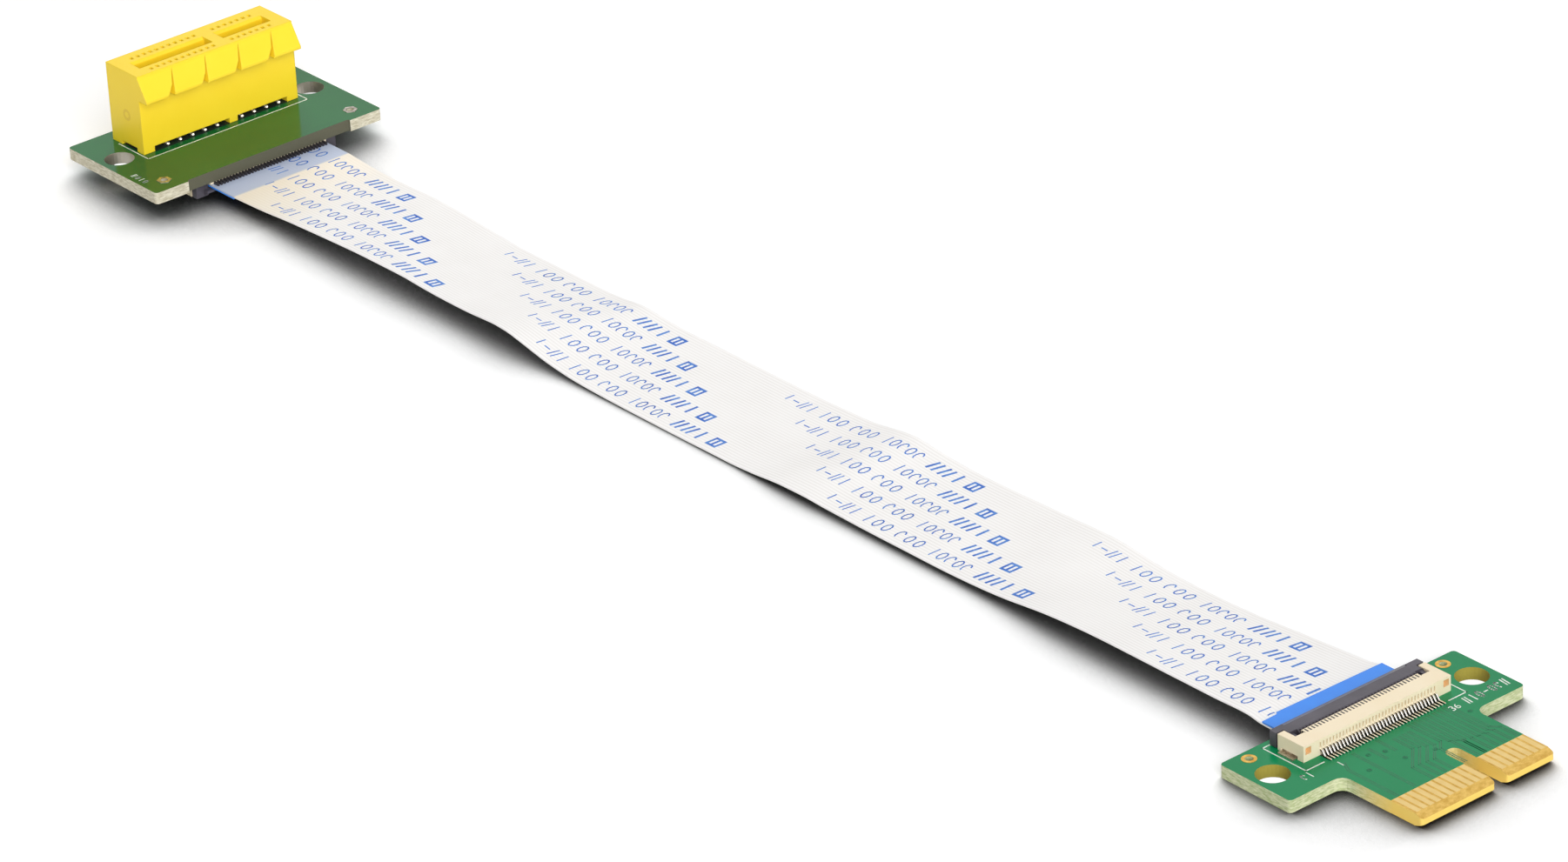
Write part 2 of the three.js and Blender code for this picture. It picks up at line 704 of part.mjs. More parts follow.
const slotEnd = new THREE.Group();
slotEnd.position.set(slotBoardBack, 0, slotBoardLift);
slotEnd.add(piece("slot_board", slotBoard(), "slotMask"));
const slot = new THREE.Group();
slot.position.set(slotFromBack, 0, boardThickness);
slot.add(piece("slot_housing", slotHousing(), "yellow"));
const contacts = slotContacts();
contacts.position.x = slitFromBack;
slot.add(contacts);
slotEnd.add(slot);
const slotSocket = ribbonSocket("slot_board");
slotSocket.position.x = slotSocketFromBack;
slotSocket.rotation.y = Math.PI; // it hangs under the board, with its cable side to the front
slotEnd.add(slotSocket);
riser.add(slotEnd);

const edgeEnd = new THREE.Group();
edgeEnd.position.set(edgeBoardBack, 0, 0);
edgeEnd.add(piece("edge_board", edgeBoard(), "edgeMask"));
const edgeSocket = ribbonSocket("edge_board");
edgeSocket.position.set(edgeSocketFromBack, 0, boardThickness);
edgeEnd.add(edgeSocket);
riser.add(edgeEnd);

riser.add(piece("ribbon_cable", ribbonCable(), "cable"));
riser.add(stiffeners());

export default riser;
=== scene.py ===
import math

import bmesh
import bpy
from mathutils import Matrix, Vector


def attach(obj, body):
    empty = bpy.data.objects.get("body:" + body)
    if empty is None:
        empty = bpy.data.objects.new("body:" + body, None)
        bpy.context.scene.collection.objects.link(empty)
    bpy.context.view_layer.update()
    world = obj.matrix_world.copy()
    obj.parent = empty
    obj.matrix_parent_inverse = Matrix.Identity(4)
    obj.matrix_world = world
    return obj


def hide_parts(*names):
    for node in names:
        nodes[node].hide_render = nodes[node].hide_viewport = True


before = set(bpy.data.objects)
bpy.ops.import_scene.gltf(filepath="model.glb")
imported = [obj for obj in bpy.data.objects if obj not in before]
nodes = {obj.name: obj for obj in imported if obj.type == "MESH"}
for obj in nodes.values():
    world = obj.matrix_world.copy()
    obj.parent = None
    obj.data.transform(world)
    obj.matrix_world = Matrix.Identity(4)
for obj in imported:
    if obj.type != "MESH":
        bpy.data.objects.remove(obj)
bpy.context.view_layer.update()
mm = 0.001
print("frame loaded")


def linear(hexColour):
    text = hexColour.lstrip("#")
    values = [int(text[i:i + 2], 16) / 255 for i in (0, 2, 4)]
    return [v / 12.92 if v <= 0.04045 else ((v + 0.055) / 1.055) ** 2.4 for v in values] + [1.0]


def addNode(tree, kind, inputs=None, **settings):
    node = tree.nodes.new(kind)
    for name, value in settings.items():
        setattr(node, name, value)
    for key, value in (inputs or {}).items():
        socket = node.inputs[key]
        if isinstance(value, bpy.types.NodeSocket):
            tree.links.new(value, socket)
        else:
            socket.default_value = value
    return node


def startMaterial(name):
    material = bpy.data.materials.new(name)
    material.use_nodes = True
    tree = material.node_tree
    tree.nodes.clear()
    shader = addNode(tree, "ShaderNodeBsdfPrincipled")
    addNode(tree, "ShaderNodeOutputMaterial", {"Surface": shader.outputs["BSDF"]})
    return material, tree, shader


def placeInMillimetres(tree):
    coordinates = addNode(tree, "ShaderNodeTexCoord")
    scaled = addNode(
        tree, "ShaderNodeVectorMath", {0: coordinates.outputs["Object"], "Scale": 1000.0},
        operation="SCALE",
    )
    parts = addNode(tree, "ShaderNodeSeparateXYZ", {0: scaled.outputs[0]})
    facing = addNode(tree, "ShaderNodeSeparateXYZ", {0: coordinates.outputs["Normal"]})
    upright = addNode(tree, "ShaderNodeMath", {0: facing.outputs[2]}, operation="ABSOLUTE")
    flat = addNode(
        tree, "ShaderNodeMath", {0: upright.outputs[0], 1: 0.5}, operation="GREATER_THAN",
    )
    return scaled.outputs[0], parts.outputs, flat.outputs[0]


# Closed thin solids from flat outlines, low and high given in millimetres
def prisms(outlines, low, high):
    verts, faces = [], []
    for outline in outlines:
        start, count = len(verts), len(outline)
        verts += [(x, y, low) for x, y in outline] + [(x, y, high) for x, y in outline]
        faces.append([start + i for i in reversed(range(count))])
        faces.append([start + count + i for i in range(count)])
        for i in range(count):
            j = (i + 1) % count
            faces.append([start + i, start + j, start + count + j, start + count + i])
    return verts, faces


def stroke(a, b, width):
    along = Vector((b[0] - a[0], b[1] - a[1])).normalized() * (width / 2)
    side = Vector((-along.y, along.x))
    start, end = Vector(a[:2]) - along, Vector(b[:2]) + along
    corners = [start - side, end - side, end + side, start + side]
    return [(c.x, c.y) for c in corners]


def strokesOf(lines, width):
    return [stroke(a, b, width) for line in lines for a, b in zip(line, line[1:])]


def ring(x, y, outer, inner, low, high, sides, corners=None):
    corners = corners or sides
    verts, faces = [], []
    for i in range(sides):
        turn = 2 * math.pi * i / sides
        step = math.pi / corners
        reach = outer * math.cos(step) / math.cos((turn % (2 * step)) - step)
        c, s = math.cos(turn), math.sin(turn)
        verts += [
            (x + reach * c, y + reach * s, low), (x + reach * c, y + reach * s, high),
            (x + inner * c, y + inner * s, high), (x + inner * c, y + inner * s, low),
        ]
    for i in range(sides):
        a, b = 4 * i, 4 * ((i + 1) % sides)
        for k in range(4):
            n = (k + 1) % 4
            faces.append([a + k, b + k, b + n, a + n])
    return verts, faces


def bead(x, y, z, radius, sides=10, rings=4):
    verts = [(x, y, z + radius), (x, y, z - radius)]
    for k in range(1, rings):
        fall = math.pi * k / rings
        for i in range(sides):
            turn = 2 * math.pi * i / sides
            reach = radius * math.sin(fall)
            verts.append((
                x + reach * math.cos(turn), y + reach * math.sin(turn), z + radius * math.cos(fall),
            ))
    faces = []
    for i in range(sides):
        j = (i + 1) % sides
        faces.append([0, 2 + i, 2 + j])
        last = 2 + (rings - 2) * sides
        faces.append([1, last + j, last + i])
        for k in range(rings - 2):
            a = 2 + k * sides
            faces.append([a + i, a + sides + i, a + sides + j, a + j])
    return verts, faces


def joined(shapes):
    verts, faces = [], []
    for shapeVerts, shapeFaces in shapes:
        start = len(verts)
        verts += shapeVerts
        faces += [[start + i for i in face] for face in shapeFaces]
    return verts, faces


def makePiece(name, shape, material):
    mesh = bpy.data.meshes.new(name)
    mesh.from_pydata([Vector(v) * mm for v in shape[0]], [], shape[1])
    mesh.validate()
    mesh.materials.append(material)
    piece = bpy.data.objects.new(name, mesh)
    bpy.context.scene.collection.objects.link(piece)
    return piece


# A tree that repeats its geometry in columns and rows and gives it a finish
def makeRepeatTree():
    tree = bpy.data.node_groups.new("repeat in rows", "GeometryNodeTree")
    for label, kind in (
        ("Geometry", "NodeSocketGeometry"), ("Columns", "NodeSocketInt"),
        ("Column step", "NodeSocketVector"), ("Rows", "NodeSocketInt"),
        ("Row step", "NodeSocketVector"), ("Finish", "NodeSocketMaterial"),
    ):
        tree.interface.new_socket(name=label, in_out="INPUT", socket_type=kind)
    tree.interface.new_socket(name="Geometry", in_out="OUTPUT", socket_type="NodeSocketGeometry")
    given = addNode(tree, "NodeGroupInput").outputs
    points = [
        addNode(
            tree, "GeometryNodeMeshLine", {"Count": given[count], "Offset": given[step]},
            mode="OFFSET",
        ).outputs[0]
        for count, step in (("Columns", "Column step"), ("Rows", "Row step"))
    ]
    columns = addNode(
        tree, "GeometryNodeInstanceOnPoints", {"Points": points[0], "Instance": given["Geometry"]},
    )
    rows = addNode(
        tree, "GeometryNodeInstanceOnPoints", {"Points": points[1], "Instance": columns.outputs[0]},
    )
    solid = addNode(tree, "GeometryNodeRealizeInstances", {"Geometry": rows.outputs[0]})
    finished = addNode(
        tree, "GeometryNodeSetMaterial",
        {"Geometry": solid.outputs[0], "Material": given["Finish"]},
    )
    addNode(tree, "NodeGroupOutput", {"Geometry": finished.outputs[0]})
    return tree


repeatTree = makeRepeatTree()


def repeatPiece(piece, columns, columnStep, rows=1, rowStep=(0, 0, 0)):
    modifier = piece.modifiers.new("repeat", "NODES")
    modifier.node_group = repeatTree
    values = {
        "Columns": columns, "Column step": tuple(v * mm for v in columnStep),
        "Rows": rows, "Row step": tuple(v * mm for v in rowStep),
        "Finish": piece.data.materials[0],
    }
    for item in repeatTree.interface.items_tree:
        if item.in_out == "INPUT" and item.name in values:
            modifier[item.identifier] = values[item.name]
    bpy.context.view_layer.update()
    graph = bpy.context.evaluated_depsgraph_get()
    mesh = bpy.data.meshes.new_from_object(piece.evaluated_get(graph))
    piece.modifiers.remove(modifier)
    piece.data = mesh
    return piece


# The camera stands where the photograph was taken, found from known sizes in the picture
photoCamera = {
    "imageWidth": 1802,
    "focalPixels": 7852.51,
    "yaw": 2.4666,
    "pitch": 0.4795,
    "roll": -0.0520,
    "place": (572.56, -456.06, 380.24),
}


def addPhotoCamera(values):
    yaw, pitch, roll = values["yaw"], values["pitch"], values["roll"]
    forward = Vector((
        math.cos(pitch) * math.cos(yaw), math.cos(pitch) * math.sin(yaw), -math.sin(pitch),
    ))
    right = forward.cross(Vector((0, 0, 1))).normalized()
    up = right.cross(forward)
    tiltedRight = right * math.cos(roll) + up * math.sin(roll)
    tiltedUp = up * math.cos(roll) - right * math.sin(roll)
    data = bpy.data.cameras.new("photo camera")
    data.sensor_width = 36
    data.lens = values["focalPixels"] * data.sensor_width / values["imageWidth"]
    data.clip_start = 0.01
    data.clip_end = 20
    camera = bpy.data.objects.new("photo camera", data)
    turn = Matrix((tiltedRight, tiltedUp, -forward)).transposed().to_4x4()
    camera.matrix_world = Matrix.Translation(Vector(values["place"]) * mm) @ turn
    bpy.context.scene.collection.objects.link(camera)
    bpy.context.scene.camera = camera


addPhotoCamera(photoCamera)
print("camera placed")

# The ribbon cable's middle line as x and z, and how far its near edge stands above that line,
# all in millimetres. The line is the same as in the part.
ribbon = {
    "route": [
        (-106.75, 1.5), (-102, 1.5), (-98.5, 1.5), (-96.6, 1.5), (-94, 1.44), (-90, 1.43),
        (-84, 1.62), (-78, 1.82), (-71, 1.8), (-64, 1.6), (-56, 1.36), (-48, 1.32),
        (-41, 1.45), (-36, 1.3), (-31.5, 0.75), (-27, 0.38), (-20, 0.24), (-10, 0.2),
        (0, 0.24), (8, 0.48), (13.5, 1.05), (17, 1.2), (21, 0.95), (27, 0.72),
        (36, 0.76), (44, 0.88), (52, 1.15), (60, 1.18), (68, 1.28), (76, 1.42),
        (83, 1.68), (89, 1.9), (92.5, 2.06), (95.5, 2.1), (99, 2.1), (103.2, 2.1),
    ],
    "twist": [
        (-106.75, 0), (-97, 0), (-95, 0.1), (-86, 0.5), (-78, 0.6), (-69, 0.95), (-62, 1.2),
        (-55, 1.3), (-48, 1.35), (-40, 1.1), (-35, 0.45), (-28, 0.15), (-19, 0), (-9, 0),
        (1, -0.1), (10, -0.05), (16, -0.3), (20, -0.2), (26, -0.05), (35, -0.1), (44, -0.2),
        (52, -0.1), (60, 0.7), (67, 1.0), (75, 0.95), (82, 0.7), (88, 0.5), (93.5, 0.35),
        (95.7, 0), (103.2, 0),
    ],
    "width": 18.5,
    "thickness": 0.2,
    "edgeAboveTable": 0.12,
    "stepsAlong": 320,
    "stepsAcross": 38,
    "conductorPitch": 0.5,
    "conductorsHalf": 8.97,
    "creamyFrom": -84.0,  # the film gets yellower from here to the next
    "creamyTo": -96.0,
    # past here the film turns bluish grey: partly the tape below showing through, partly painted
    # shade from the slot board above
    "tapeAndShadeFrom": -96.9,  # past here the tape below shows through
    "tapeAndShadeTo": -97.3,
}


def smoothAt(points, x):
    last = len(points) - 1
    i = 0
    while i < last - 1 and x > points[i + 1][0]:
        i += 1

    def slope(k):
        before, after = points[max(k - 1, 0)], points[min(k + 1, last)]
        return (after[1] - before[1]) / (after[0] - before[0])

    (x0, z0), (x1, z1) = points[i], points[i + 1]
    span = x1 - x0
    t = min(max((x - x0) / span, 0), 1)
    rise = t * t * (3 - 2 * t)
    return z0 + (z1 - z0) * rise + span * t * (1 - t) * ((1 - t) * slope(i) - t * slope(i + 1))


def onRibbon(x, across, lift):
    height = smoothAt(ribbon["route"], x)
    room = height - ribbon["thickness"] / 2 - ribbon["edgeAboveTable"]
    twist = min(max(smoothAt(ribbon["twist"], x), -room), room)
    return x, across, height - twist * across * 2 / ribbon["width"] + lift


def ribbonShape():
    along, across = ribbon["stepsAlong"], ribbon["stepsAcross"]
    start, end = ribbon["route"][0][0], ribbon["route"][-1][0]
    half, thick = ribbon["width"] / 2, ribbon["thickness"] / 2
    verts, faces = [], []
    row = across + 1
    layer = (along + 1) * row
    for lift in (thick, -thick):
        for i in range(along + 1):
            x = start + (end - start) * i / along
            for j in range(row):
                verts.append(onRibbon(x, -half + 2 * half * j / across, lift))
    for i in range(along):
        for j in range(across):
            a = i * row + j
            faces.append([a, a + row, a + row + 1, a + 1])
            faces.append([layer + a, layer + a + 1, layer + a + row + 1, layer + a + row])
        for j, order in ((0, 1), (across, -1)):
            a = i * row + j
            side = [a, layer + a, layer + a + row, a + row]
            faces.append(side[::order])
    for i, order in ((0, -1), (along, 1)):
        for j in range(across):
            a = i * row + j
            faces.append([a, layer + a, layer + a + 1, a + 1][::order])
    return verts, faces


# Flat flexible cable: flat copper strips between two polyester films, laminated hot, so the
# strips show as faint raised lines under a satin white skin
def makeFilm():
    material, tree, shader = startMaterial("laminated polyester film")
    colours = {"film": "#F5F3F1", "overCopper": "#E9E6E3", "overTapeAndShade": "#BCC6DC", "creamy": "#F3E7D2"}
    run = addNode(tree, "ShaderNodeUVMap", uv_map="run")
    place = addNode(tree, "ShaderNodeSeparateXYZ", {0: run.outputs[0]})
    phase = addNode(
        tree, "ShaderNodeMath", {0: place.outputs[1], 1: 2 * math.pi / ribbon["conductorPitch"]},
        operation="MULTIPLY",
    )
    wave = addNode(tree, "ShaderNodeMath", {0: phase.outputs[0]}, operation="COSINE")
    copper = addNode(
        tree, "ShaderNodeMapRange",
        {"Value": wave.outputs[0], "From Min": 0.35, "From Max": -0.35},
    )
    offMiddle = addNode(tree, "ShaderNodeMath", {0: place.outputs[1]}, operation="ABSOLUTE")
    inside = addNode(
        tree, "ShaderNodeMath", {0: offMiddle.outputs[0], 1: ribbon["conductorsHalf"]},
        operation="LESS_THAN",
    )
    strips = addNode(
        tree, "ShaderNodeMath", {0: copper.outputs[0], 1: inside.outputs[0]}, operation="MULTIPLY",
    )
    blotches = addNode(
        tree, "ShaderNodeTexNoise",
        {"Vector": run.outputs[0], "Scale": 0.12, "Detail": 3.0, "Roughness": 0.5},
    )
    shown = addNode(
        tree, "ShaderNodeMapRange",
        {"Value": blotches.outputs[0], "From Min": 0.35, "From Max": 0.65,
         "To Min": 0.55, "To Max": 1.0},
    )
    lines = addNode(
        tree, "ShaderNodeMath", {0: strips.outputs[0], 1: shown.outputs[0]}, operation="MULTIPLY",
    )
    skin = addNode(
        tree, "ShaderNodeMix",
        {0: lines.outputs[0], 6: linear(colours["film"]), 7: linear(colours["overCopper"])},
        data_type="RGBA",
    )
    creamy = addNode(
        tree, "ShaderNodeMapRange",
        {"Value": place.outputs[0], "From Min": ribbon["creamyFrom"], "From Max": ribbon["creamyTo"],
         "To Max": 0.75},
    )
    warm = addNode(
        tree, "ShaderNodeMix",
        {0: creamy.outputs[0], 6: skin.outputs[2], 7: linear(colours["creamy"])}, data_type="RGBA",
    )
    # painted shade: the bluish grey at the slot end stands both for the tape below and for the slot
    # board's shade above
    taped = addNode(
        tree, "ShaderNodeMapRange",
        {"Value": place.outputs[0], "From Min": ribbon["tapeAndShadeFrom"],
         "From Max": ribbon["tapeAndShadeTo"]},
    )
    tint = addNode(
        tree, "ShaderNodeMix",
        {0: taped.outputs[0], 6: warm.outputs[2], 7: linear(colours["overTapeAndShade"])},
        data_type="RGBA",
    )
    tree.links.new(tint.outputs[2], shader.inputs["Base Color"])
    relief = addNode(
        tree, "ShaderNodeBump",
        {"Height": lines.outputs[0], "Distance": 0.012 * mm, "Strength": 0.4},
    )
    tree.links.new(relief.outputs[0], shader.inputs["Normal"])
    sheen = addNode(
        tree, "ShaderNodeMapRange",
        {"Value": blotches.outputs[0], "To Min": 0.34, "To Max": 0.46},
    )
    tree.links.new(sheen.outputs[0], shader.inputs["Roughness"])
    return material


ribbonCable = makePiece("ribbon_cable_film", ribbonShape(), makeFilm())
runLayer = ribbonCable.data.uv_layers.new(name="run")
for loop in ribbonCable.data.loops:
    spot = ribbonCable.data.vertices[loop.vertex_index].co / mm
    runLayer.data[loop.index].uv = (spot.x, spot.y)
ribbonCable.data.shade_smooth()
ribbonCable.data.set_sharp_from_angle(angle=math.radians(35))
print("ribbon laid")

# Ink on the cable: rows of plain strokes and rings that repeat along it, with no words
ink = {
    "height": 1.65,
    "lean": 0.04,
    "glyphWidth": 1.05,
    "boldWidth": 1.45,
    "thickness": 0.016,
    "sunk": 0.004,
    "line": 0.18,
    "boldLine": 0.36,
    "blocks": 4,
    "blockStep": 55.5,
    "rows": 5,
    "rowStep": (6.05, -3.45),
    "start": (-115.8, 5.75),
    "shownFrom": -101.3,
    "shownTo": 95.3,
    # each group: start along the block, pitch of its marks, bold or not, and the marks
    "groups": [
        (0.0, 1.5, False, ["tick", "dash", "fork", "bar"]),
        (6.9, 1.65, False, ["bar", "loop", "loop"]),
        (12.6, 1.65, False, ["hook", "loop", "loop"]),
        (18.6, 1.4, False, ["bar", "loop", "hook", "loop", "hook"]),
        (27.0, 2.05, True, ["fork", "fork", "bar"]),
        (33.9, 2.2, True, ["box"]),
    ],
}


def markLines(kind):
    turns = [2 * math.pi * i / 12 for i in range(13)]
    oval = [(0.5 + 0.42 * math.cos(t), 0.5 + 0.5 * math.sin(t)) for t in turns]
    return {
        "bar": [[(0.5, 0), (0.5, 1)]],
        "tick": [[(0.5, 0.25), (0.5, 1)]],
        "dash": [[(0.1, 0.5), (0.9, 0.5)]],
        "fork": [[(0.1, 0), (0.3, 1)], [(0.7, 0), (0.9, 1)]],
        "loop": [oval],
        "hook": [oval[1:9]],
        "box": [[(0, 0), (0, 1), (1, 1), (1, 0), (0, 0)], [(0.5, 0), (0.5, 1)]],
    }[kind]


def markOutlines(kind, x, y, width, height, lean, line):
    lines = [
        [(x + u * width + lean * v * height, y + v * height) for u, v in points]
        for points in markLines(kind)
    ]
    return strokesOf(lines, line)


def markRow(kinds, x, step, y, width, height, line, lean=0):
    outlines = []
    for i, kind in enumerate(kinds):
        outlines += markOutlines(kind, x + i * step, y, width, height, lean, line)
    return outlines


def inkShape():
    outlines = []
    for start, pitch, bold, kinds in ink["groups"]:
        outlines += markRow(
            kinds, ink["start"][0] + start, pitch, ink["start"][1],
            ink["glyphWidth"] * (ink["boldWidth"] if bold else 1), ink["height"],
            ink["boldLine"] if bold else ink["line"], ink["lean"],
        )
    return prisms(outlines, 0, ink["thickness"])


# Marking ink: pigment jetted on film, a little uneven, with no gloss of its own
def makeInk(name, hexStrong, hexWeak, patch):
    material, tree, shader = startMaterial(name)
    scaled, place, flat = placeInMillimetres(tree)
    uneven = addNode(
        tree, "ShaderNodeTexNoise", {"Vector": scaled, "Scale": 1 / patch, "Detail": 4.0},
    )
    cover = addNode(
        tree, "ShaderNodeMapRange",
        {"Value": uneven.outputs[0], "From Min": 0.38, "From Max": 0.62},
    )
    colour = addNode(
        tree, "ShaderNodeMix",
        {0: cover.outputs[0], 6: linear(hexStrong), 7: linear(hexWeak)}, data_type="RGBA",
    )
    tree.links.new(colour.outputs[2], shader.inputs["Base Color"])
    shader.inputs["Roughness"].default_value = 0.6
    return material


ribbonInk = makePiece(
    "ribbon_marking", inkShape(), makeInk("jetted blue marking ink", "#1E60BE", "#5288D2", 1.2),
)
repeatPiece(
    ribbonInk, ink["blocks"], (ink["blockStep"], 0, 0), ink["rows"], (*ink["rowStep"], 0),
)
shape = bmesh.new()
shape.from_mesh(ribbonInk.data)
hidden = [
    v for v in shape.verts if not ink["shownFrom"] <= v.co.x / mm <= ink["shownTo"]
]
bmesh.ops.delete(shape, geom=hidden, context="VERTS")
bmesh.ops.holes_fill(shape, edges=shape.edges, sides=8)
for v in shape.verts:
    lift = ribbon["thickness"] / 2 + v.co.z / mm - ink["sunk"]
    v.co = Vector(onRibbon(v.co.x / mm, v.co.y / mm, lift)) * mm
shape.to_mesh(ribbonInk.data)
shape.free()

# Stiffening tape on the cable's ends, above it at the edge board and below it at the slot board
tape = {
    "thickness": 0.2,
    "edgeFrom": [
        (103.1, -9.25), (103.1, 9.25), (95.7, 9.25), (95.4, -6.7), (95.75, -7.0), (95.8, -9.25),
    ],
    "slotFrom": [(-106.7, -9.25), (-97.25, -9.25), (-97.25, 9.25), (-106.7, 9.25)],
    "edgeHeight": 2.23,
    "slotHeight": 1.17,
}


# Polyester stiffening tape: dyed through and bonded with heat, so it has a soft even gloss
def makeTape():
    material, tree, shader = startMaterial("dyed polyester tape")
    scaled, place, flat = placeInMillimetres(tree)
    grain = addNode(tree, "ShaderNodeTexNoise", {"Vector": scaled, "Scale": 0.6, "Detail": 5.0})
    colour = addNode(
        tree, "ShaderNodeMix",
        {0: grain.outputs[0], 6: linear("#2080EC"), 7: linear("#3490F6")}, data_type="RGBA",
    )
    tree.links.new(colour.outputs[2], shader.inputs["Base Color"])
    sheen = addNode(
        tree, "ShaderNodeMapRange", {"Value": grain.outputs[0], "To Min": 0.25, "To Max": 0.4},
    )
    tree.links.new(sheen.outputs[0], shader.inputs["Roughness"])
    return material


tapeFinish = makeTape()
edgeTape = makePiece(
    "edge_end_tape",
    prisms([tape["edgeFrom"]], tape["edgeHeight"], tape["edgeHeight"] + tape["thickness"]),
    tapeFinish,
)
slotTape = makePiece(
    "slot_end_tape",
    prisms([tape["slotFrom"]], tape["slotHeight"], tape["slotHeight"] + tape["thickness"]),
    tapeFinish,
)
for piece, node, slotName in (
    (ribbonCable, "ribbon_cable", "cable"), (ribbonInk, None, "cable"),
    (edgeTape, "edge_end_stiffener", "stiffener"), (slotTape, "slot_end_stiffener", "stiffener"),
):
    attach(piece, "riser")
    if node:
        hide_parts(node)
routePoints = [  # every half millimetre
    tuple(c * mm for c in onRibbon(step / 2, 0, 0)) for step in range(-213, 207)
]
print("ribbon marked and taped")


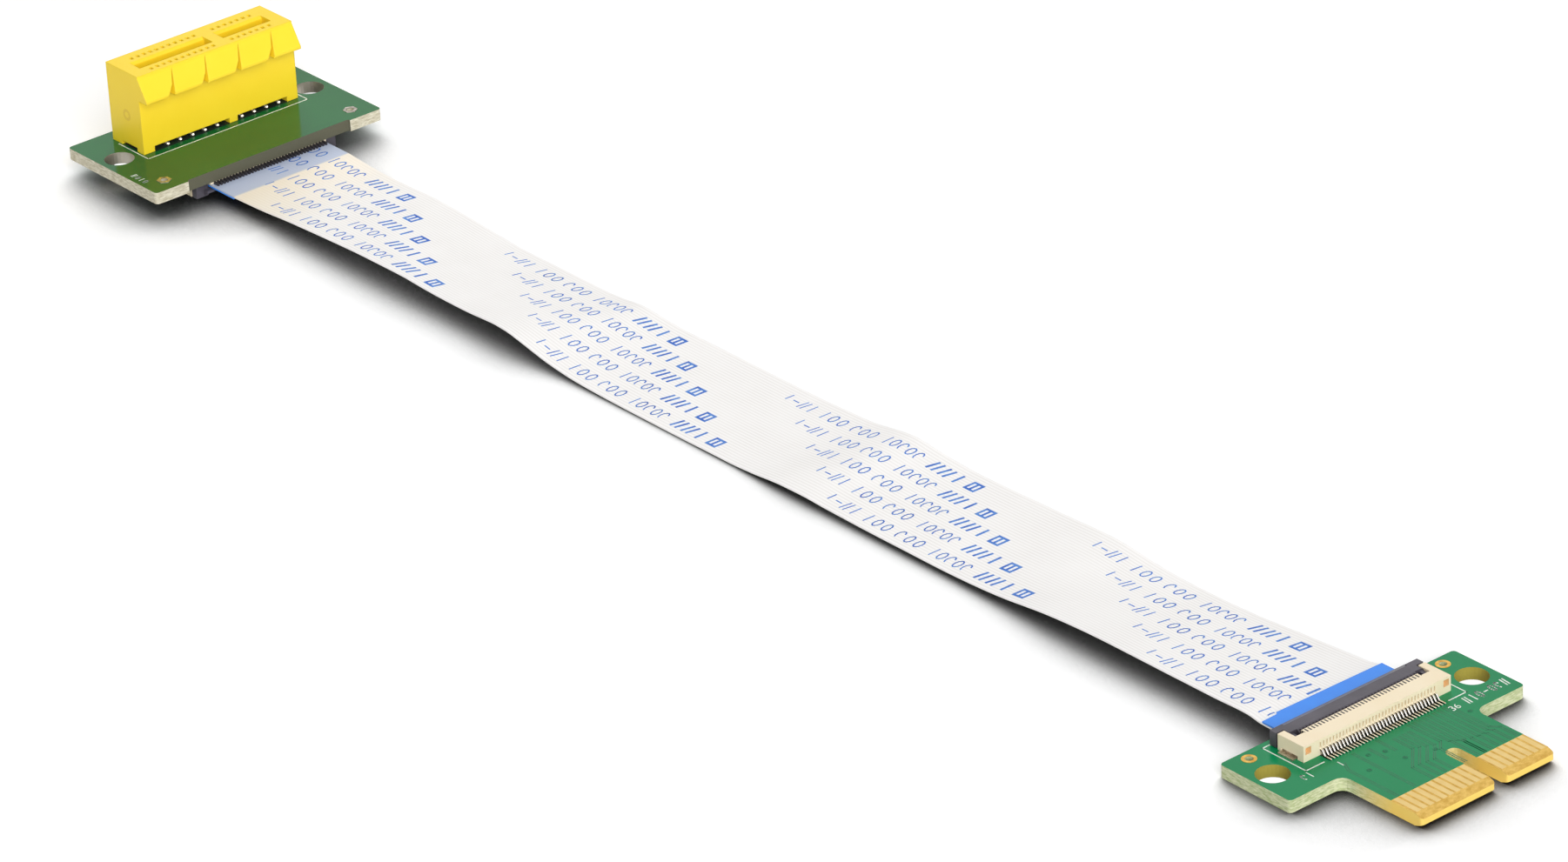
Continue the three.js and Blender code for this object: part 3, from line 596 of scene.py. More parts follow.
# Glass laminate board under green solder mask. The mask is glossy and flows over the copper,
# the sawn edge shows pale resin with glass bundles, and the finger tab is bare amber resin.
def makeBoard(name, values):
    material, tree, shader = startMaterial(name)
    scaled, place, flat = placeInMillimetres(tree)
    x, y, z = place[0], place[1], place[2]
    drift = addNode(tree, "ShaderNodeTexNoise", {"Vector": scaled, "Scale": 0.09, "Detail": 3.0})
    mask = addNode(
        tree, "ShaderNodeMix",
        {0: drift.outputs[0], 6: linear(values["mask"]), 7: linear(values["maskDeep"])},
        data_type="RGBA",
    )
    # glass bundles run along the edge in layers 0.2 mm thick
    stretched = addNode(
        tree, "ShaderNodeMapping", {"Vector": scaled, "Scale": (1.1, 1.1, 5.0)},
    )
    fibre = addNode(
        tree, "ShaderNodeTexNoise",
        {"Vector": stretched.outputs[0], "Scale": 1.0, "Detail": 6.0, "Roughness": 0.65},
    )
    fibreShare = addNode(
        tree, "ShaderNodeMapRange",
        {"Value": fibre.outputs[0], "From Min": 0.38, "From Max": 0.62},
    )
    edge = addNode(
        tree, "ShaderNodeMix",
        {0: fibreShare.outputs[0], 6: linear(values["edge"]), 7: linear(values["edgeDeep"])},
        data_type="RGBA",
    ).outputs[2]
    sideways = addNode(tree, "ShaderNodeMath", {0: y}, operation="ABSOLUTE")
    fromHole = addNode(
        tree, "ShaderNodeMath", {0: sideways.outputs[0], 1: values["holeY"]}, operation="SUBTRACT",
    )
    alongHole = addNode(tree, "ShaderNodeMath", {0: x, 1: values["holeX"]}, operation="SUBTRACT")
    holeOffset = addNode(
        tree, "ShaderNodeCombineXYZ", {0: alongHole.outputs[0], 1: fromHole.outputs[0]},
    )
    distance = addNode(
        tree, "ShaderNodeVectorMath", {0: holeOffset.outputs[0]}, operation="LENGTH",
    )
    wall = addNode(
        tree, "ShaderNodeMath", {0: distance.outputs["Value"], 1: values["holeReach"]},
        operation="LESS_THAN",
    )
    edge = addNode(
        tree, "ShaderNodeMix", {0: wall.outputs[0], 6: edge, 7: linear(values["holeWall"])},
        data_type="RGBA",
    ).outputs[2]
    sides = addNode(tree, "ShaderNodeMath", {0: 1.0, 1: flat}, operation="SUBTRACT")
    metal = addNode(
        tree, "ShaderNodeMath", {0: wall.outputs[0], 1: sides.outputs[0]}, operation="MULTIPLY",
    ).outputs[0]
    metal = addNode(
        tree, "ShaderNodeMath", {0: metal, 1: values["holeMetal"]}, operation="MULTIPLY",
    ).outputs[0]
    if "stepX" in values:  # the routed step is duller and browner than the sawn edge
        stepAcross = addNode(
            tree, "ShaderNodeMath", {0: sideways.outputs[0], 1: values["stepY"]},
            operation="LESS_THAN",
        )
        stepAlong = addNode(
            tree, "ShaderNodeMath", {0: x, 1: values["stepX"]}, operation="GREATER_THAN",
        )
        step = addNode(
            tree, "ShaderNodeMath", {0: stepAcross.outputs[0], 1: stepAlong.outputs[0]},
            operation="MULTIPLY",
        )
        edge = addNode(
            tree, "ShaderNodeMix", {0: step.outputs[0], 6: edge, 7: linear(values["step"])},
            data_type="RGBA",
        ).outputs[2]
    surface = mask.outputs[2]
    masked = flat
    if "tabX" in values:  # past the mask's end the fingers stand a plating step above the resin
        tab = addNode(
            tree, "ShaderNodeMath", {0: x, 1: values["tabX"]}, operation="GREATER_THAN",
        ).outputs[0]
        fromMiddle = addNode(
            tree, "ShaderNodeMath", {0: z, 1: values["thickness"] / 2}, operation="SUBTRACT",
        )
        depth = addNode(tree, "ShaderNodeMath", {0: fromMiddle.outputs[0]}, operation="ABSOLUTE")
        raised = addNode(
            tree, "ShaderNodeMath",
            {0: depth.outputs[0], 1: values["thickness"] / 2 - values["fingerRise"]},
            operation="GREATER_THAN",
        )
        onFinger = addNode(
            tree, "ShaderNodeMath", {0: raised.outputs[0], 1: flat}, operation="MULTIPLY",
        )
        worn = addNode(
            tree, "ShaderNodeTexNoise", {"Vector": scaled, "Scale": 0.9, "Detail": 4.0},
        )
        gold = addNode(
            tree, "ShaderNodeMix",
            {0: worn.outputs[0], 6: linear(values["gold"]), 7: linear(values["goldDeep"])},
            data_type="RGBA",
        )
        resin = addNode(
            tree, "ShaderNodeMix",
            {0: fibreShare.outputs[0], 6: linear(values["resin"]), 7: linear(values["resinDeep"])},
            data_type="RGBA",
        )
        tabFace = addNode(
            tree, "ShaderNodeMix",
            {0: onFinger.outputs[0], 6: resin.outputs[2], 7: gold.outputs[2]}, data_type="RGBA",
        )
        surface = addNode(
            tree, "ShaderNodeMix", {0: tab, 6: surface, 7: tabFace.outputs[2]}, data_type="RGBA",
        ).outputs[2]
        warmth = addNode(
            tree, "ShaderNodeMapRange",
            {"Value": x, "From Min": values["tabX"] - 6, "From Max": values["tabX"] + 0.5},
        )
        edge = addNode(
            tree, "ShaderNodeMix",
            {0: warmth.outputs[0], 6: edge, 7: linear(values["tabEdge"])}, data_type="RGBA",
        ).outputs[2]
        bare = addNode(tree, "ShaderNodeMath", {0: 1.0, 1: tab}, operation="SUBTRACT")
        masked = addNode(
            tree, "ShaderNodeMath", {0: flat, 1: bare.outputs[0]}, operation="MULTIPLY",
        ).outputs[0]
        plated = addNode(
            tree, "ShaderNodeMath", {0: onFinger.outputs[0], 1: tab}, operation="MULTIPLY",
        )
        metal = addNode(
            tree, "ShaderNodeMath", {0: plated.outputs[0], 1: metal}, operation="MAXIMUM",
        ).outputs[0]
    colour = addNode(
        tree, "ShaderNodeMix", {0: flat, 6: edge, 7: surface}, data_type="RGBA",
    )
    tree.links.new(colour.outputs[2], shader.inputs["Base Color"])
    tree.links.new(metal, shader.inputs["Metallic"])
    dull = addNode(
        tree, "ShaderNodeMapRange", {"Value": masked, "To Min": 0.6, "To Max": values["maskRough"]},
    )
    rough = addNode(
        tree, "ShaderNodeMapRange", {"Value": metal, "To Min": 0.0, "To Max": -0.26},
    )
    roughness = addNode(tree, "ShaderNodeMath", {0: dull.outputs[0], 1: rough.outputs[0]})
    tree.links.new(roughness.outputs[0], shader.inputs["Roughness"])
    # orange peel of the mask, and the glass bundles on the sawn edge
    height = addNode(
        tree, "ShaderNodeMix", {0: masked, 2: fibre.outputs[0], 3: drift.outputs[0]},
        data_type="FLOAT",
    )
    relief = addNode(
        tree, "ShaderNodeBump",
        {"Height": height.outputs[0], "Distance": 0.04 * mm, "Strength": 0.5},
    )
    tree.links.new(relief.outputs[0], shader.inputs["Normal"])
    shader.inputs["Specular IOR Level"].default_value = values["gloss"]
    return material


def dress(names, material):
    for name in names:
        for place in nodes[name].material_slots:
            place.material = material


slotBoard = {
    "mask": "#1B6F38", "maskDeep": "#165F2D", "edge": "#DDD8C4", "edgeDeep": "#B2AA8E",
    "holeX": -113.85, "holeY": 15.45, "holeReach": 2.1, "holeWall": "#DAD4C8", "holeMetal": 1.0,
    "stepX": -102.3, "stepY": 13.1, "step": "#5C5B4A", "maskRough": 0.12, "gloss": 0.27,
}
edgeBoard = {
    "mask": "#088F58", "maskDeep": "#057C4A", "edge": "#D3D6B4", "edgeDeep": "#A3B07C",
    "holeX": 103.8, "holeY": 15.3, "holeReach": 2.1, "holeWall": "#A59A45", "holeMetal": 0.0,
    "tabX": 116.83, "thickness": 1.6, "fingerRise": 0.015, "gold": "#F1D592", "goldDeep": "#E0BE74",
    "resin": "#E2BC66", "resinDeep": "#CBA04A", "tabEdge": "#F0CE6A", "maskRough": 0.16,
    "gloss": 0.2,
}
dress(["slot_board"], makeBoard("glossy green masked laminate, slot board", slotBoard))
dress(["edge_board"], makeBoard("glossy green masked laminate, edge board", edgeBoard))
print("boards finished")

# Copper under the mask of the edge board shows as fine dark gaps on both sides of each track
tracks = {
    "height": 1.6, "step": 0.012, "sunk": 0.01, "gap": 0.1, "halfTrack": 0.15,
    "fingerX": 116.6, "leadX": 106.5,
    # far bundle: where each track leaves the leads, where it turns, and the finger it meets
    "far": [
        (2.6, 111.6, 1.5), (3.35, 112.2, 3.5), (4.1, 112.7, 4.5), (4.85, 113.1, 4.5),
        (5.6, 113.4, 5.5), (6.4, 113.6, 6.5), (7.2, 113.6, 7.5), (8.0, 113.4, 8.5),
        (8.7, 113.1, 9.5),
    ],
    # middle bundle: the same, starting a little further from the leads
    "middle": [
        (-0.65, 110.6, -3.5), (0.1, 110.9, -2.5), (0.85, 111.3, -1.5), (1.6, 111.7, -0.5),
    ],
    "middleX": 107.6,
    "single": [
        [(106.8, -6.1), (116.4, -6.1)], [(107.2, -4.15), (110.2, -4.15)],
        [(107.6, -8.2), (109.0, -8.9), (116.6, -8.9)], [(106.5, -2.2), (109.6, -2.2)],
    ],
    "vias": [
        (108.9, -3.2), (111.4, -2.6), (108.2, -5.1), (112.4, 1.0), (110.6, -7.3), (109.2, 9.6),
    ],
    "viaOuter": 0.3, "viaInner": 0.1, "viaProud": 0.02, "viaSides": 16,
}


def trackLines():
    end = tracks["fingerX"]
    paths = [
        [(start, lead), (turn, lead), (turn + abs(finger - lead), finger), (end, finger)]
        for start, bundle in ((tracks["leadX"], "far"), (tracks["middleX"], "middle"))
        for lead, turn, finger in tracks[bundle]
    ]
    lines = []
    for path in paths + tracks["single"]:
        for offset in (-tracks["halfTrack"], tracks["halfTrack"]):
            lines.append([(x, y + offset) for x, y in path])
    return lines


maskOverResin = makeInk("green mask over bare laminate", "#06623E", "#0A7048", 2.0)
trackGaps = makePiece(
    "edge_board_track_gaps",
    prisms(
        strokesOf(trackLines(), tracks["gap"]), tracks["height"] - tracks["sunk"],
        tracks["height"] + tracks["step"],
    ),
    maskOverResin,
)
maskOverResin.node_tree.nodes["Principled BSDF"].inputs["Roughness"].default_value = 0.16
smallVias = makePiece(
    "edge_board_vias",
    joined([
        ring(
            x, y, tracks["viaOuter"], tracks["viaInner"], tracks["height"] - tracks["sunk"],
            tracks["height"] + tracks["viaProud"], tracks["viaSides"],
        )
        for x, y in tracks["vias"]
    ]),
    makeInk("mask over plated holes", "#0A7048", "#055236", 0.4),
)
# no light gets under the leads or the slot housing, so the mask there reads as black
shade = {
    "leads": [(104.5, -8.9), (105.75, -8.9), (105.75, 8.9), (104.5, 8.9)],
    "housing": [(-119.2, -12.35), (-112.28, -12.35), (-112.28, 12.35), (-119.2, 12.35)],
    "edgeLevel": (1.59, 1.612),
    "slotLevel": (3.59, 3.612),
}
darkMask = makeInk("mask in deep shade", "#0A1A10", "#0E2417", 1.0)
leadShade = makePiece(
    "edge_board_under_leads", prisms([shade["leads"]], *shade["edgeLevel"]), darkMask,
)
housingShade = makePiece(
    "slot_board_under_housing", prisms([shade["housing"]], *shade["slotLevel"]), darkMask,
)
for piece, slotName in (
    (trackGaps, "edge_board"), (smallVias, "edge_board"), (leadShade, "edge_board"),
    (housingShade, "slot_board"),
):
    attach(piece, "riser")

# White printing on both boards: outlines of the parts, and the numbers of the end pins
printing = {
    "line": 0.16, "thickness": 0.02, "edgeTop": 1.6, "slotTop": 3.6, "sunk": 0.01,
    "edgeOutline": [
        [(105.9, -9.6), (105.9, -12.3), (99.05, -12.3), (99.05, 12.3), (105.9, 12.3), (105.9, 9.6)],
    ],
    "slotOutline": [
        [(-117.7, -12.8), (-111.05, -12.8), (-111.05, 13.1), (-119.3, 13.1)],
    ],
    # each row of plain marks: its marks, start, step, base line, width, height and line
    "edgeMarks": [
        (["fork", "bar", "loop", "dash", "loop", "hook", "fork"],
         10.75, 0.98, -107.9, 0.62, 1.3, 0.17),
        (["hook", "bar"], -13.7, 0.85, -107.3, 0.6, 1.05, 0.15),
    ],
    "slotMarks": [(["fork", "loop", "bar", "loop"], -108.4, 0.85, -17.5, 0.5, 0.8, 0.13)],
    "numbers": [("1", 107.9, -8.9, 1.45), ("36", 107.9, 8.25, 1.45)],
}
whiteInk = makeInk("white screen printing ink", "#F1F4EE", "#CFDACD", 0.5)
edgeMarks = [
    [(-v, u) for u, v in outline] for row in printing["edgeMarks"] for outline in markRow(*row)
]
slotMarks = [outline for row in printing["slotMarks"] for outline in markRow(*row)]
for name, top, outlines in (
    ("edge_board", printing["edgeTop"],
     strokesOf(printing["edgeOutline"], printing["line"]) + edgeMarks),
    ("slot_board", printing["slotTop"],
     strokesOf(printing["slotOutline"], printing["line"]) + slotMarks),
):
    printed = makePiece(
        name + "_printing",
        prisms(outlines, top - printing["sunk"], top + printing["thickness"]), whiteInk,
    )
    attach(printed, "riser")
for text, x, y, size in printing["numbers"]:
    curve = bpy.data.curves.new("pin number", "FONT")
    curve.body = text
    curve.size = size
    curve.extrude = printing["thickness"]
    letters = bpy.data.objects.new("pin number", curve)
    bpy.context.scene.collection.objects.link(letters)
    bpy.context.view_layer.update()
    graph = bpy.context.evaluated_depsgraph_get()
    mesh = bpy.data.meshes.new_from_object(letters.evaluated_get(graph))
    bpy.data.objects.remove(letters)
    # the numbers are read from the finger end, with their feet towards the fingers
    turn = Matrix(((0, -1, 0, x), (1, 0, 0, y), (0, 0, 1, printing["edgeTop"]), (0, 0, 0, 1)))
    mesh.transform(Matrix.Scale(mm, 4) @ turn)
    mesh.materials.clear()
    mesh.materials.append(whiteInk)
    number = bpy.data.objects.new("pin_number_" + text, mesh)
    bpy.context.scene.collection.objects.link(number)
    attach(number, "riser")


# Plated pads: soft metal laid on copper, so it is a little dull and mottled
def makePlating(name, hexBright, hexDull, roughness, patch):
    material, tree, shader = startMaterial(name)
    scaled, place, flat = placeInMillimetres(tree)
    mottle = addNode(
        tree, "ShaderNodeTexNoise", {"Vector": scaled, "Scale": 1 / patch, "Detail": 4.0},
    )
    share = addNode(
        tree, "ShaderNodeMapRange",
        {"Value": mottle.outputs[0], "From Min": 0.35, "From Max": 0.65},
    )
    colour = addNode(
        tree, "ShaderNodeMix",
        {0: share.outputs[0], 6: linear(hexBright), 7: linear(hexDull)}, data_type="RGBA",
    )
    tree.links.new(colour.outputs[2], shader.inputs["Base Color"])
    spread = addNode(
        tree, "ShaderNodeMapRange",
        {"Value": share.outputs[0], "To Min": roughness - 0.06, "To Max": roughness + 0.1},
    )
    tree.links.new(spread.outputs[0], shader.inputs["Roughness"])
    relief = addNode(
        tree, "ShaderNodeBump",
        {"Height": mottle.outputs[0], "Distance": 0.03 * mm, "Strength": 0.5},
    )
    tree.links.new(relief.outputs[0], shader.inputs["Normal"])
    shader.inputs["Metallic"].default_value = 1.0
    return material


# each pair of ring pads: its board, x, distance from the middle, outer and inner radius, lowest and
# highest point, sides of the hole and corners outside
pads = {
    "edge_board_test_pads": ("edge_board", 99.65, 14.9, 0.9, 0.5, 1.59, 1.63, 32, 32),
    "slot_board_tinned_pads": ("slot_board", -104.25, 15.1, 1.0, 0.5, 3.59, 3.66, 30, 6),
}
padMetals = {
    "edge_board_test_pads": makePlating("immersion gold pad", "#F0C466", "#CF9A40", 0.35, 0.6),
    "slot_board_tinned_pads": makePlating("reflowed tin pad", "#CFC8BE", "#8F887C", 0.35, 0.5),
}
for name, (board, x, away, *sizes) in pads.items():
    pad = makePiece(
        name, joined([ring(x, side * away, *sizes) for side in (-1, 1)]), padMetals[name],
    )
    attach(pad, "riser")
print("printing and pads added")


# Filled nylon, moulded: a fine etched grain, a satin skin, and slightly softer edges
def makeMoulded(name, hexBody, hexShade, roughness, grain, edgeRadius):
    material, tree, shader = startMaterial(name)
    scaled, place, flat = placeInMillimetres(tree)
    cloud = addNode(tree, "ShaderNodeTexNoise", {"Vector": scaled, "Scale": 0.25, "Detail": 3.0})
    colour = addNode(
        tree, "ShaderNodeMix",
        {0: cloud.outputs[0], 6: linear(hexBody), 7: linear(hexShade)}, data_type="RGBA",
    )
    skin = addNode(
        tree, "ShaderNodeTexNoise", {"Vector": scaled, "Scale": 1 / grain, "Detail": 4.0},
    )
    spread = addNode(
        tree, "ShaderNodeMapRange",
        {"Value": skin.outputs[0], "To Min": roughness - 0.08, "To Max": roughness + 0.08},
    )
    tree.links.new(colour.outputs[2], shader.inputs["Base Color"])
    tree.links.new(spread.outputs[0], shader.inputs["Roughness"])
    softEdge = addNode(tree, "ShaderNodeBevel", {"Radius": edgeRadius * mm}, samples=4)
    relief = addNode(
        tree, "ShaderNodeBump",
        {"Height": skin.outputs[0], "Distance": 0.02 * mm, "Strength": 0.4,
         "Normal": softEdge.outputs[0]},
    )
    tree.links.new(relief.outputs[0], shader.inputs["Normal"])
    return material, tree, shader, place, colour


yellow, tree, shader, place, colour = makeMoulded(
    "moulded yellow nylon", "#FFDF30", "#FCD722", 0.42, 0.25, 0.18,
)
# the round mark that an ejector pin leaves on the near end
pinMark = {"x": -115.59, "z": 8.37, "endY": -12.4, "radius": 0.62, "halfLine": 0.2}
markX = addNode(tree, "ShaderNodeMath", {0: place[0], 1: pinMark["x"]}, operation="SUBTRACT")
markZ = addNode(tree, "ShaderNodeMath", {0: place[2], 1: pinMark["z"]}, operation="SUBTRACT")
spot = addNode(tree, "ShaderNodeCombineXYZ", {0: markX.outputs[0], 1: markZ.outputs[0]})
distance = addNode(tree, "ShaderNodeVectorMath", {0: spot.outputs[0]}, operation="LENGTH")
circle = addNode(
    tree, "ShaderNodeMath",
    {0: distance.outputs["Value"], 1: pinMark["radius"], 2: pinMark["halfLine"]},
    operation="COMPARE",
)
onEnd = addNode(tree, "ShaderNodeMath", {0: place[1], 1: pinMark["endY"]}, operation="LESS_THAN")
marked = addNode(
    tree, "ShaderNodeMath", {0: circle.outputs[0], 1: onEnd.outputs[0]}, operation="MULTIPLY",
)
skin = addNode(
    tree, "ShaderNodeMix",
    {0: marked.outputs[0], 6: colour.outputs[2], 7: linear("#EFC924")}, data_type="RGBA",
)
tree.links.new(skin.outputs[2], shader.inputs["Base Color"])
dress(["slot_housing"], yellow)
black = makeMoulded("moulded black polymer", "#2C2930", "#5E5963", 0.4, 0.4, 0.08)
dress(["slot_board_ribbon_lock", "edge_board_ribbon_lock"], black[0])


# The cream housings carry their tin leads in the same solid, told apart by where they are
def makeSocketFinish(name, values):
    material, tree, shader, place, colour = makeMoulded(
        name, "#F8EBD0", "#F2DFBC", 0.45, 0.3, 0.08,
    )
    # dark slots between the teeth along the edge over the cable
    turns = addNode(
        tree, "ShaderNodeMath", {0: place[1], 1: 2 * math.pi / values["pitch"]},
        operation="MULTIPLY",
    )
    wave = addNode(tree, "ShaderNodeMath", {0: turns.outputs[0]}, operation="COSINE")
    slots = addNode(tree, "ShaderNodeMath", {0: wave.outputs[0], 1: 0.1}, operation="GREATER_THAN")
    combed = addNode(
        tree, "ShaderNodeMath", {0: place[0], 1: values["combX"], 2: values["combReach"]},
        operation="COMPARE",
    )
    wide = addNode(
        tree, "ShaderNodeMath", {0: place[1], 1: 0.0, 2: values["combHalf"]}, operation="COMPARE",
    )
    comb = addNode(
        tree, "ShaderNodeMath", {0: slots.outputs[0], 1: combed.outputs[0]}, operation="MULTIPLY",
    )
    comb = addNode(
        tree, "ShaderNodeMath", {0: comb.outputs[0], 1: wide.outputs[0]}, operation="MULTIPLY",
    )
    body = addNode(
        tree, "ShaderNodeMix",
        {0: comb.outputs[0], 6: colour.outputs[2], 7: linear("#4A443E")}, data_type="RGBA",
    )
    # the end pockets are painted with a warm glow, standing for light that passes through their
    # thin walls
    sideways = addNode(tree, "ShaderNodeMath", {0: place[1]}, operation="ABSOLUTE")
    pocket = addNode(
        tree, "ShaderNodeMath",
        {0: sideways.outputs[0], 1: values["pocketY"], 2: values["pocketHalf"]},
        operation="COMPARE",
    )
    inward = addNode(
        tree, "ShaderNodeMath", {0: place[0], 1: values["pocketX"], 2: values["pocketReach"]},
        operation="COMPARE",
    )
    level = addNode(
        tree, "ShaderNodeMath", {0: place[2], 1: values["pocketZ"], 2: values["pocketHalf"]},
        operation="COMPARE",
    )
    warm = addNode(
        tree, "ShaderNodeMath", {0: pocket.outputs[0], 1: inward.outputs[0]}, operation="MULTIPLY",
    )
    warm = addNode(
        tree, "ShaderNodeMath", {0: warm.outputs[0], 1: level.outputs[0]}, operation="MULTIPLY",
    )
    body = addNode(
        tree, "ShaderNodeMix",
        {0: warm.outputs[0], 6: body.outputs[2], 7: linear("#F6D09A")}, data_type="RGBA",
    )
    metal = addNode(
        tree, "ShaderNodeMath", {0: place[0], 1: values["leadsBeyond"]},
        operation="GREATER_THAN" if values["leadSide"] > 0 else "LESS_THAN",
    )
    # painted highlight along the middle of each lead, painted shade on its sides and in the gap
    # beside it
    core = addNode(tree, "ShaderNodeMath", {0: wave.outputs[0], 1: -0.42}, operation="LESS_THAN")
    lead = addNode(
        tree, "ShaderNodeMix",
        {0: core.outputs[0], 6: linear("#4A443C"), 7: linear("#FAF7F0")}, data_type="RGBA",
    )
    finish = addNode(
        tree, "ShaderNodeMix",
        {0: metal.outputs[0], 6: body.outputs[2], 7: lead.outputs[2]}, data_type="RGBA",
    )
    tree.links.new(finish.outputs[2], shader.inputs["Base Color"])
    tree.links.new(metal.outputs[0], shader.inputs["Metallic"])
    shine = addNode(
        tree, "ShaderNodeMapRange", {"Value": metal.outputs[0], "To Min": 0.45, "To Max": 0.25},
    )
    tree.links.new(shine.outputs[0], shader.inputs["Roughness"])
    return material


socket = {
    "pitch": 0.5, "combHalf": 8.95, "combReach": 0.32,
    "pocketY": 10.57, "pocketHalf": 0.44, "pocketReach": 0.4,
}
edgeSocket = {
    **socket, "leadsBeyond": 104.51, "leadSide": 1, "combX": 102.05,
    "pocketX": 104.08, "pocketZ": 2.87,
}
slotSocket = {
    **socket, "leadsBeyond": -108.06, "leadSide": -1, "combX": -105.35,
    "pocketX": -107.63, "pocketZ": 0.73,
}
for name, values in (("edge_board", edgeSocket), ("slot_board", slotSocket)):
    finish = makeSocketFinish("moulded cream polymer, " + name.replace("_", " "), values)
    dress([name + "_ribbon_socket"], finish)
# rounded heels of the front contacts in the dark gap under the housing, in a near-white tin
# brighter than the contacts' so that they show as painted glints
heels = {
    "x": -112.62, "z": 3.86, "radius": 0.27, "step": 2.0, "first": (-8.5, 3.5), "counts": (5, 4),
}
glintingHeelTin = makePlating("bright tin heel", "#FFFBF2", "#EADFC8", 0.3, 0.3)
for number, (first, count) in enumerate(zip(heels["first"], heels["counts"]), 1):
    heel = makePiece(
        f"slot_contact_heels_{number}", bead(heels["x"], first, heels["z"], heels["radius"]),
        glintingHeelTin,
    )
    repeatPiece(heel, count, (0, heels["step"], 0))
    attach(heel, "riser")
tinned = makePlating("tinned contact strip", "#F2EEE6", "#D6D0C4", 0.25, 0.3)
dress([name for name in nodes if name.startswith("slot_contact_")], tinned)
dress(
    [name for name in nodes if "solder_tab" in name],
    makePlating("reflowed tin tab", "#E4DCD0", "#A89C8C", 0.32, 0.4),
)
print("mouldings and metal finished")

# Ribs at the back of the socket under the slot board, seen above the cable where it comes out
ribs = {
    "count": 36, "pitch": 0.5, "width": 0.26, "from": -102.14, "to": -101.15,
    "low": 1.62, "high": 1.97,
}
ribBase = -ribs["pitch"] * (ribs["count"] - 1) / 2
slotRibs = makePiece(
    "slot_socket_ribs",
    prisms(
        [[
            (ribs["from"], ribBase - ribs["width"] / 2), (ribs["to"], ribBase - ribs["width"] / 2),
            (ribs["to"], ribBase + ribs["width"] / 2), (ribs["from"], ribBase + ribs["width"] / 2),
        ]],
        ribs["low"], ribs["high"],
    ),
    makeMoulded("moulded black rib", "#1E1C20", "#343036", 0.45, 0.3, 0.05)[0],
)
repeatPiece(slotRibs, ribs["count"], (0, ribs["pitch"], 0))
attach(slotRibs, "riser")

# Floor, world and lamps
studio = {
    "floorSize": 6.0,
    "world": 0.2,
    "lift": 0.12,  # brings the unshaded floor up to the white of the background
    # the soft dark shadow beside the object, on the side away from the back lamp
    "shadowReach": 0.013, "shadowHeight": 12, "shadowFull": 0.42, "shadowNone": 0.93,
    "shadowDepth": 1.7,
    # painted light: the floor glows white under the boards' holes so that white shows through them;
    # where it glows, and how far around
    "paintedLightUnderHoles": [(103.8, 15.3, 2.3), (103.8, -15.3, 2.3), (-118.1, -12.1, 1.4)],
    # name, azimuth and height it comes from in degrees, share of light on the floor, spread,
    # and whether it shows in reflections
    "lamps": [
        ("back lamp", 145, 34, 0.26, 40, False),
        ("top lamp", 60, 78, 0.13, 60, False),
        ("front lamp", -25, 28, 0.39, 50, True),
    ],
}


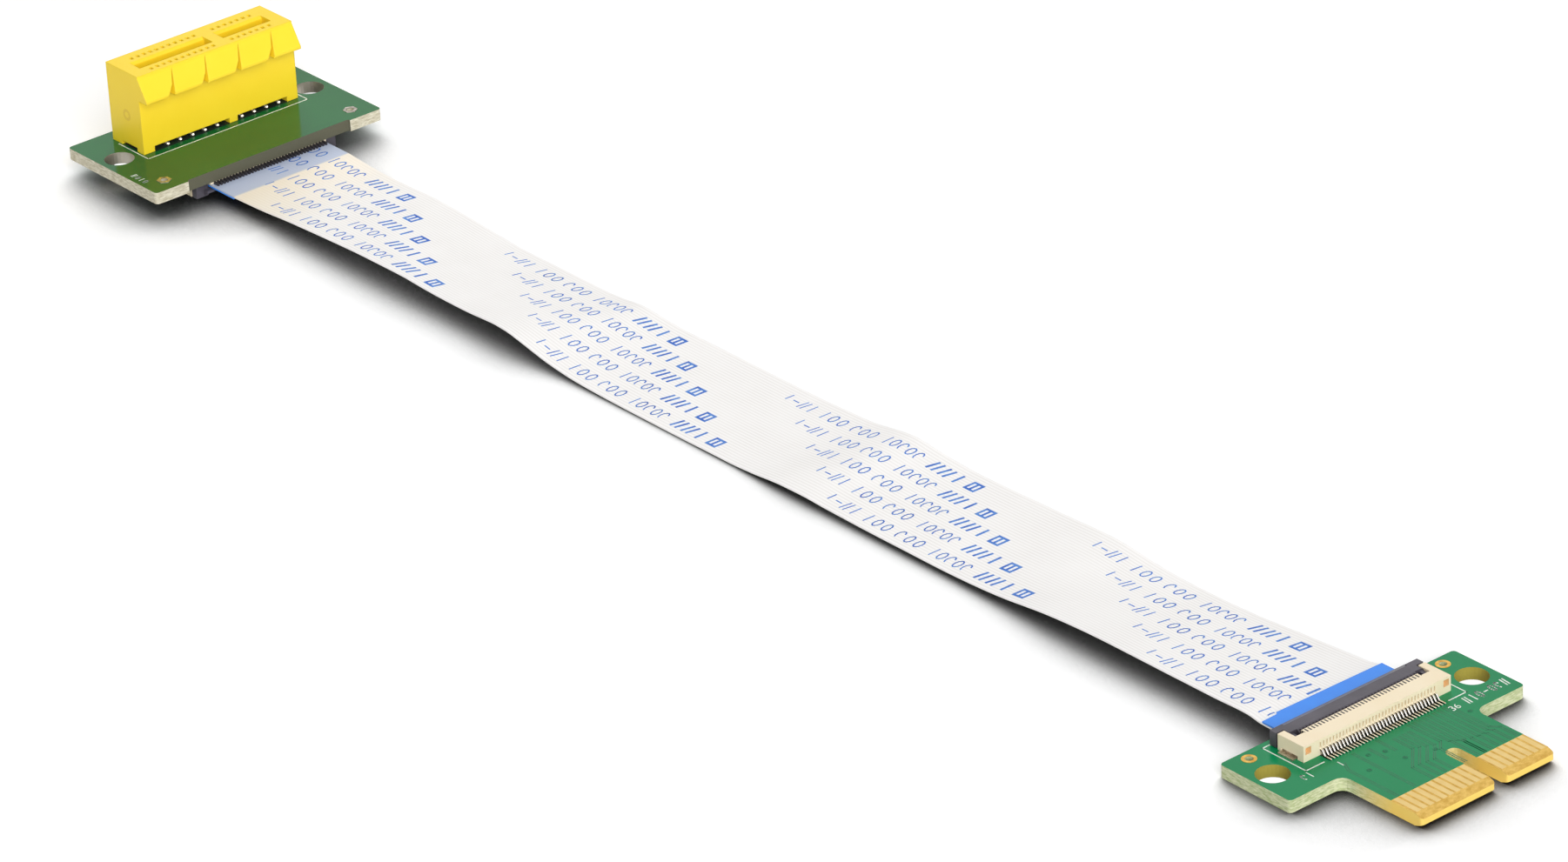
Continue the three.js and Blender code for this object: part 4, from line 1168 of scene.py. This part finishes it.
def addStudio(values):
    scene = bpy.context.scene
    scene.view_settings.view_transform = "Standard"
    world = bpy.data.worlds.new("white studio")
    scene.world = world
    world.use_nodes = True
    tree = world.node_tree
    tree.nodes.clear()
    paths = addNode(tree, "ShaderNodeLightPath")
    seen = addNode(
        tree, "ShaderNodeMath",
        {0: paths.outputs["Is Camera Ray"], 1: paths.outputs["Is Glossy Ray"]}, operation="MAXIMUM",
    )
    seen = addNode(
        tree, "ShaderNodeMath",
        {0: seen.outputs[0], 1: paths.outputs["Is Transmission Ray"]}, operation="MAXIMUM",
    )
    level = addNode(
        tree, "ShaderNodeMapRange",
        {"Value": seen.outputs[0], "To Min": values["world"], "To Max": 1.0},
    )
    light = addNode(
        tree, "ShaderNodeBackground", {"Color": (1, 1, 1, 1), "Strength": level.outputs[0]},
    )
    addNode(tree, "ShaderNodeOutputWorld", {"Surface": light.outputs[0]})
    half = values["floorSize"] / 2
    mesh = bpy.data.meshes.new("floor")
    mesh.from_pydata(
        [(-half, -half, 0), (half, -half, 0), (half, half, 0), (-half, half, 0)], [],
        [(0, 1, 2, 3)],
    )
    floor = bpy.data.objects.new("floor", mesh)
    scene.collection.objects.link(floor)
    material = bpy.data.materials.new("white paper sweep")
    material.use_nodes = True
    tree = material.node_tree
    tree.nodes.clear()
    paths = addNode(tree, "ShaderNodeLightPath")
    azimuth, height = math.radians(values["lamps"][0][1]), math.radians(values["shadowHeight"])
    towards = addNode(
        tree, "ShaderNodeCombineXYZ",
        {0: math.cos(height) * math.cos(azimuth), 1: math.cos(height) * math.sin(azimuth),
         2: math.sin(height)},
    )
    clear = addNode(
        tree, "ShaderNodeAmbientOcclusion",
        {"Distance": values["shadowReach"], "Normal": towards.outputs[0]}, samples=12,
    )
    lit = addNode(
        tree, "ShaderNodeMapRange",
        {"Value": clear.outputs["AO"], "From Min": values["shadowFull"],
         "From Max": values["shadowNone"]},
    )
    lit = addNode(
        tree, "ShaderNodeMath", {0: lit.outputs[0], 1: values["shadowDepth"]}, operation="POWER",
    )
    paper = addNode(
        tree, "ShaderNodeMix",
        {0: paths.outputs["Is Camera Ray"], 6: (0.85, 0.85, 0.85, 1), 7: lit.outputs[0]},
        data_type="RGBA",
    )
    diffuse = addNode(tree, "ShaderNodeBsdfDiffuse", {"Color": paper.outputs[2]})
    lift = addNode(
        tree, "ShaderNodeMath", {0: paths.outputs["Is Camera Ray"], 1: values["lift"]},
        operation="MULTIPLY",
    )
    lift = addNode(
        tree, "ShaderNodeMath", {0: lift.outputs[0], 1: lit.outputs[0]}, operation="MULTIPLY",
    )
    # painted light: under each listed hole the floor glows white for the camera, though the board
    # above shades it
    floorPlace = addNode(tree, "ShaderNodeTexCoord")
    for x, y, radius in values["paintedLightUnderHoles"]:
        away = addNode(
            tree, "ShaderNodeVectorMath",
            {0: floorPlace.outputs["Object"], 1: (x * mm, y * mm, 0)}, operation="DISTANCE",
        )
        near = addNode(
            tree, "ShaderNodeMath", {0: away.outputs["Value"], 1: radius * mm},
            operation="LESS_THAN",
        )
        near = addNode(
            tree, "ShaderNodeMath", {0: near.outputs[0], 1: paths.outputs["Is Camera Ray"]},
            operation="MULTIPLY",
        )
        lift = addNode(
            tree, "ShaderNodeMath", {0: lift.outputs[0], 1: near.outputs[0]}, operation="MAXIMUM",
        )
    glow = addNode(
        tree, "ShaderNodeEmission", {"Color": (1, 1, 1, 1), "Strength": lift.outputs[0]},
    )
    both = addNode(tree, "ShaderNodeAddShader", {0: diffuse.outputs[0], 1: glow.outputs[0]})
    addNode(tree, "ShaderNodeOutputMaterial", {"Surface": both.outputs[0]})
    mesh.materials.append(material)
    for name, azimuth, height, share, spread, reflected in values["lamps"]:
        lamp = bpy.data.lights.new(name, "SUN")
        lamp.energy = share * math.pi / math.sin(math.radians(height))
        lamp.angle = math.radians(spread)
        holder = bpy.data.objects.new(name, lamp)
        a, h = math.radians(azimuth), math.radians(height)
        towards = Vector((math.cos(h) * math.cos(a), math.cos(h) * math.sin(a), math.sin(h)))
        holder.rotation_euler = towards.to_track_quat("Z", "Y").to_euler()
        holder.visible_glossy = reflected
        scene.collection.objects.link(holder)


addStudio(studio)
print("studio lit")
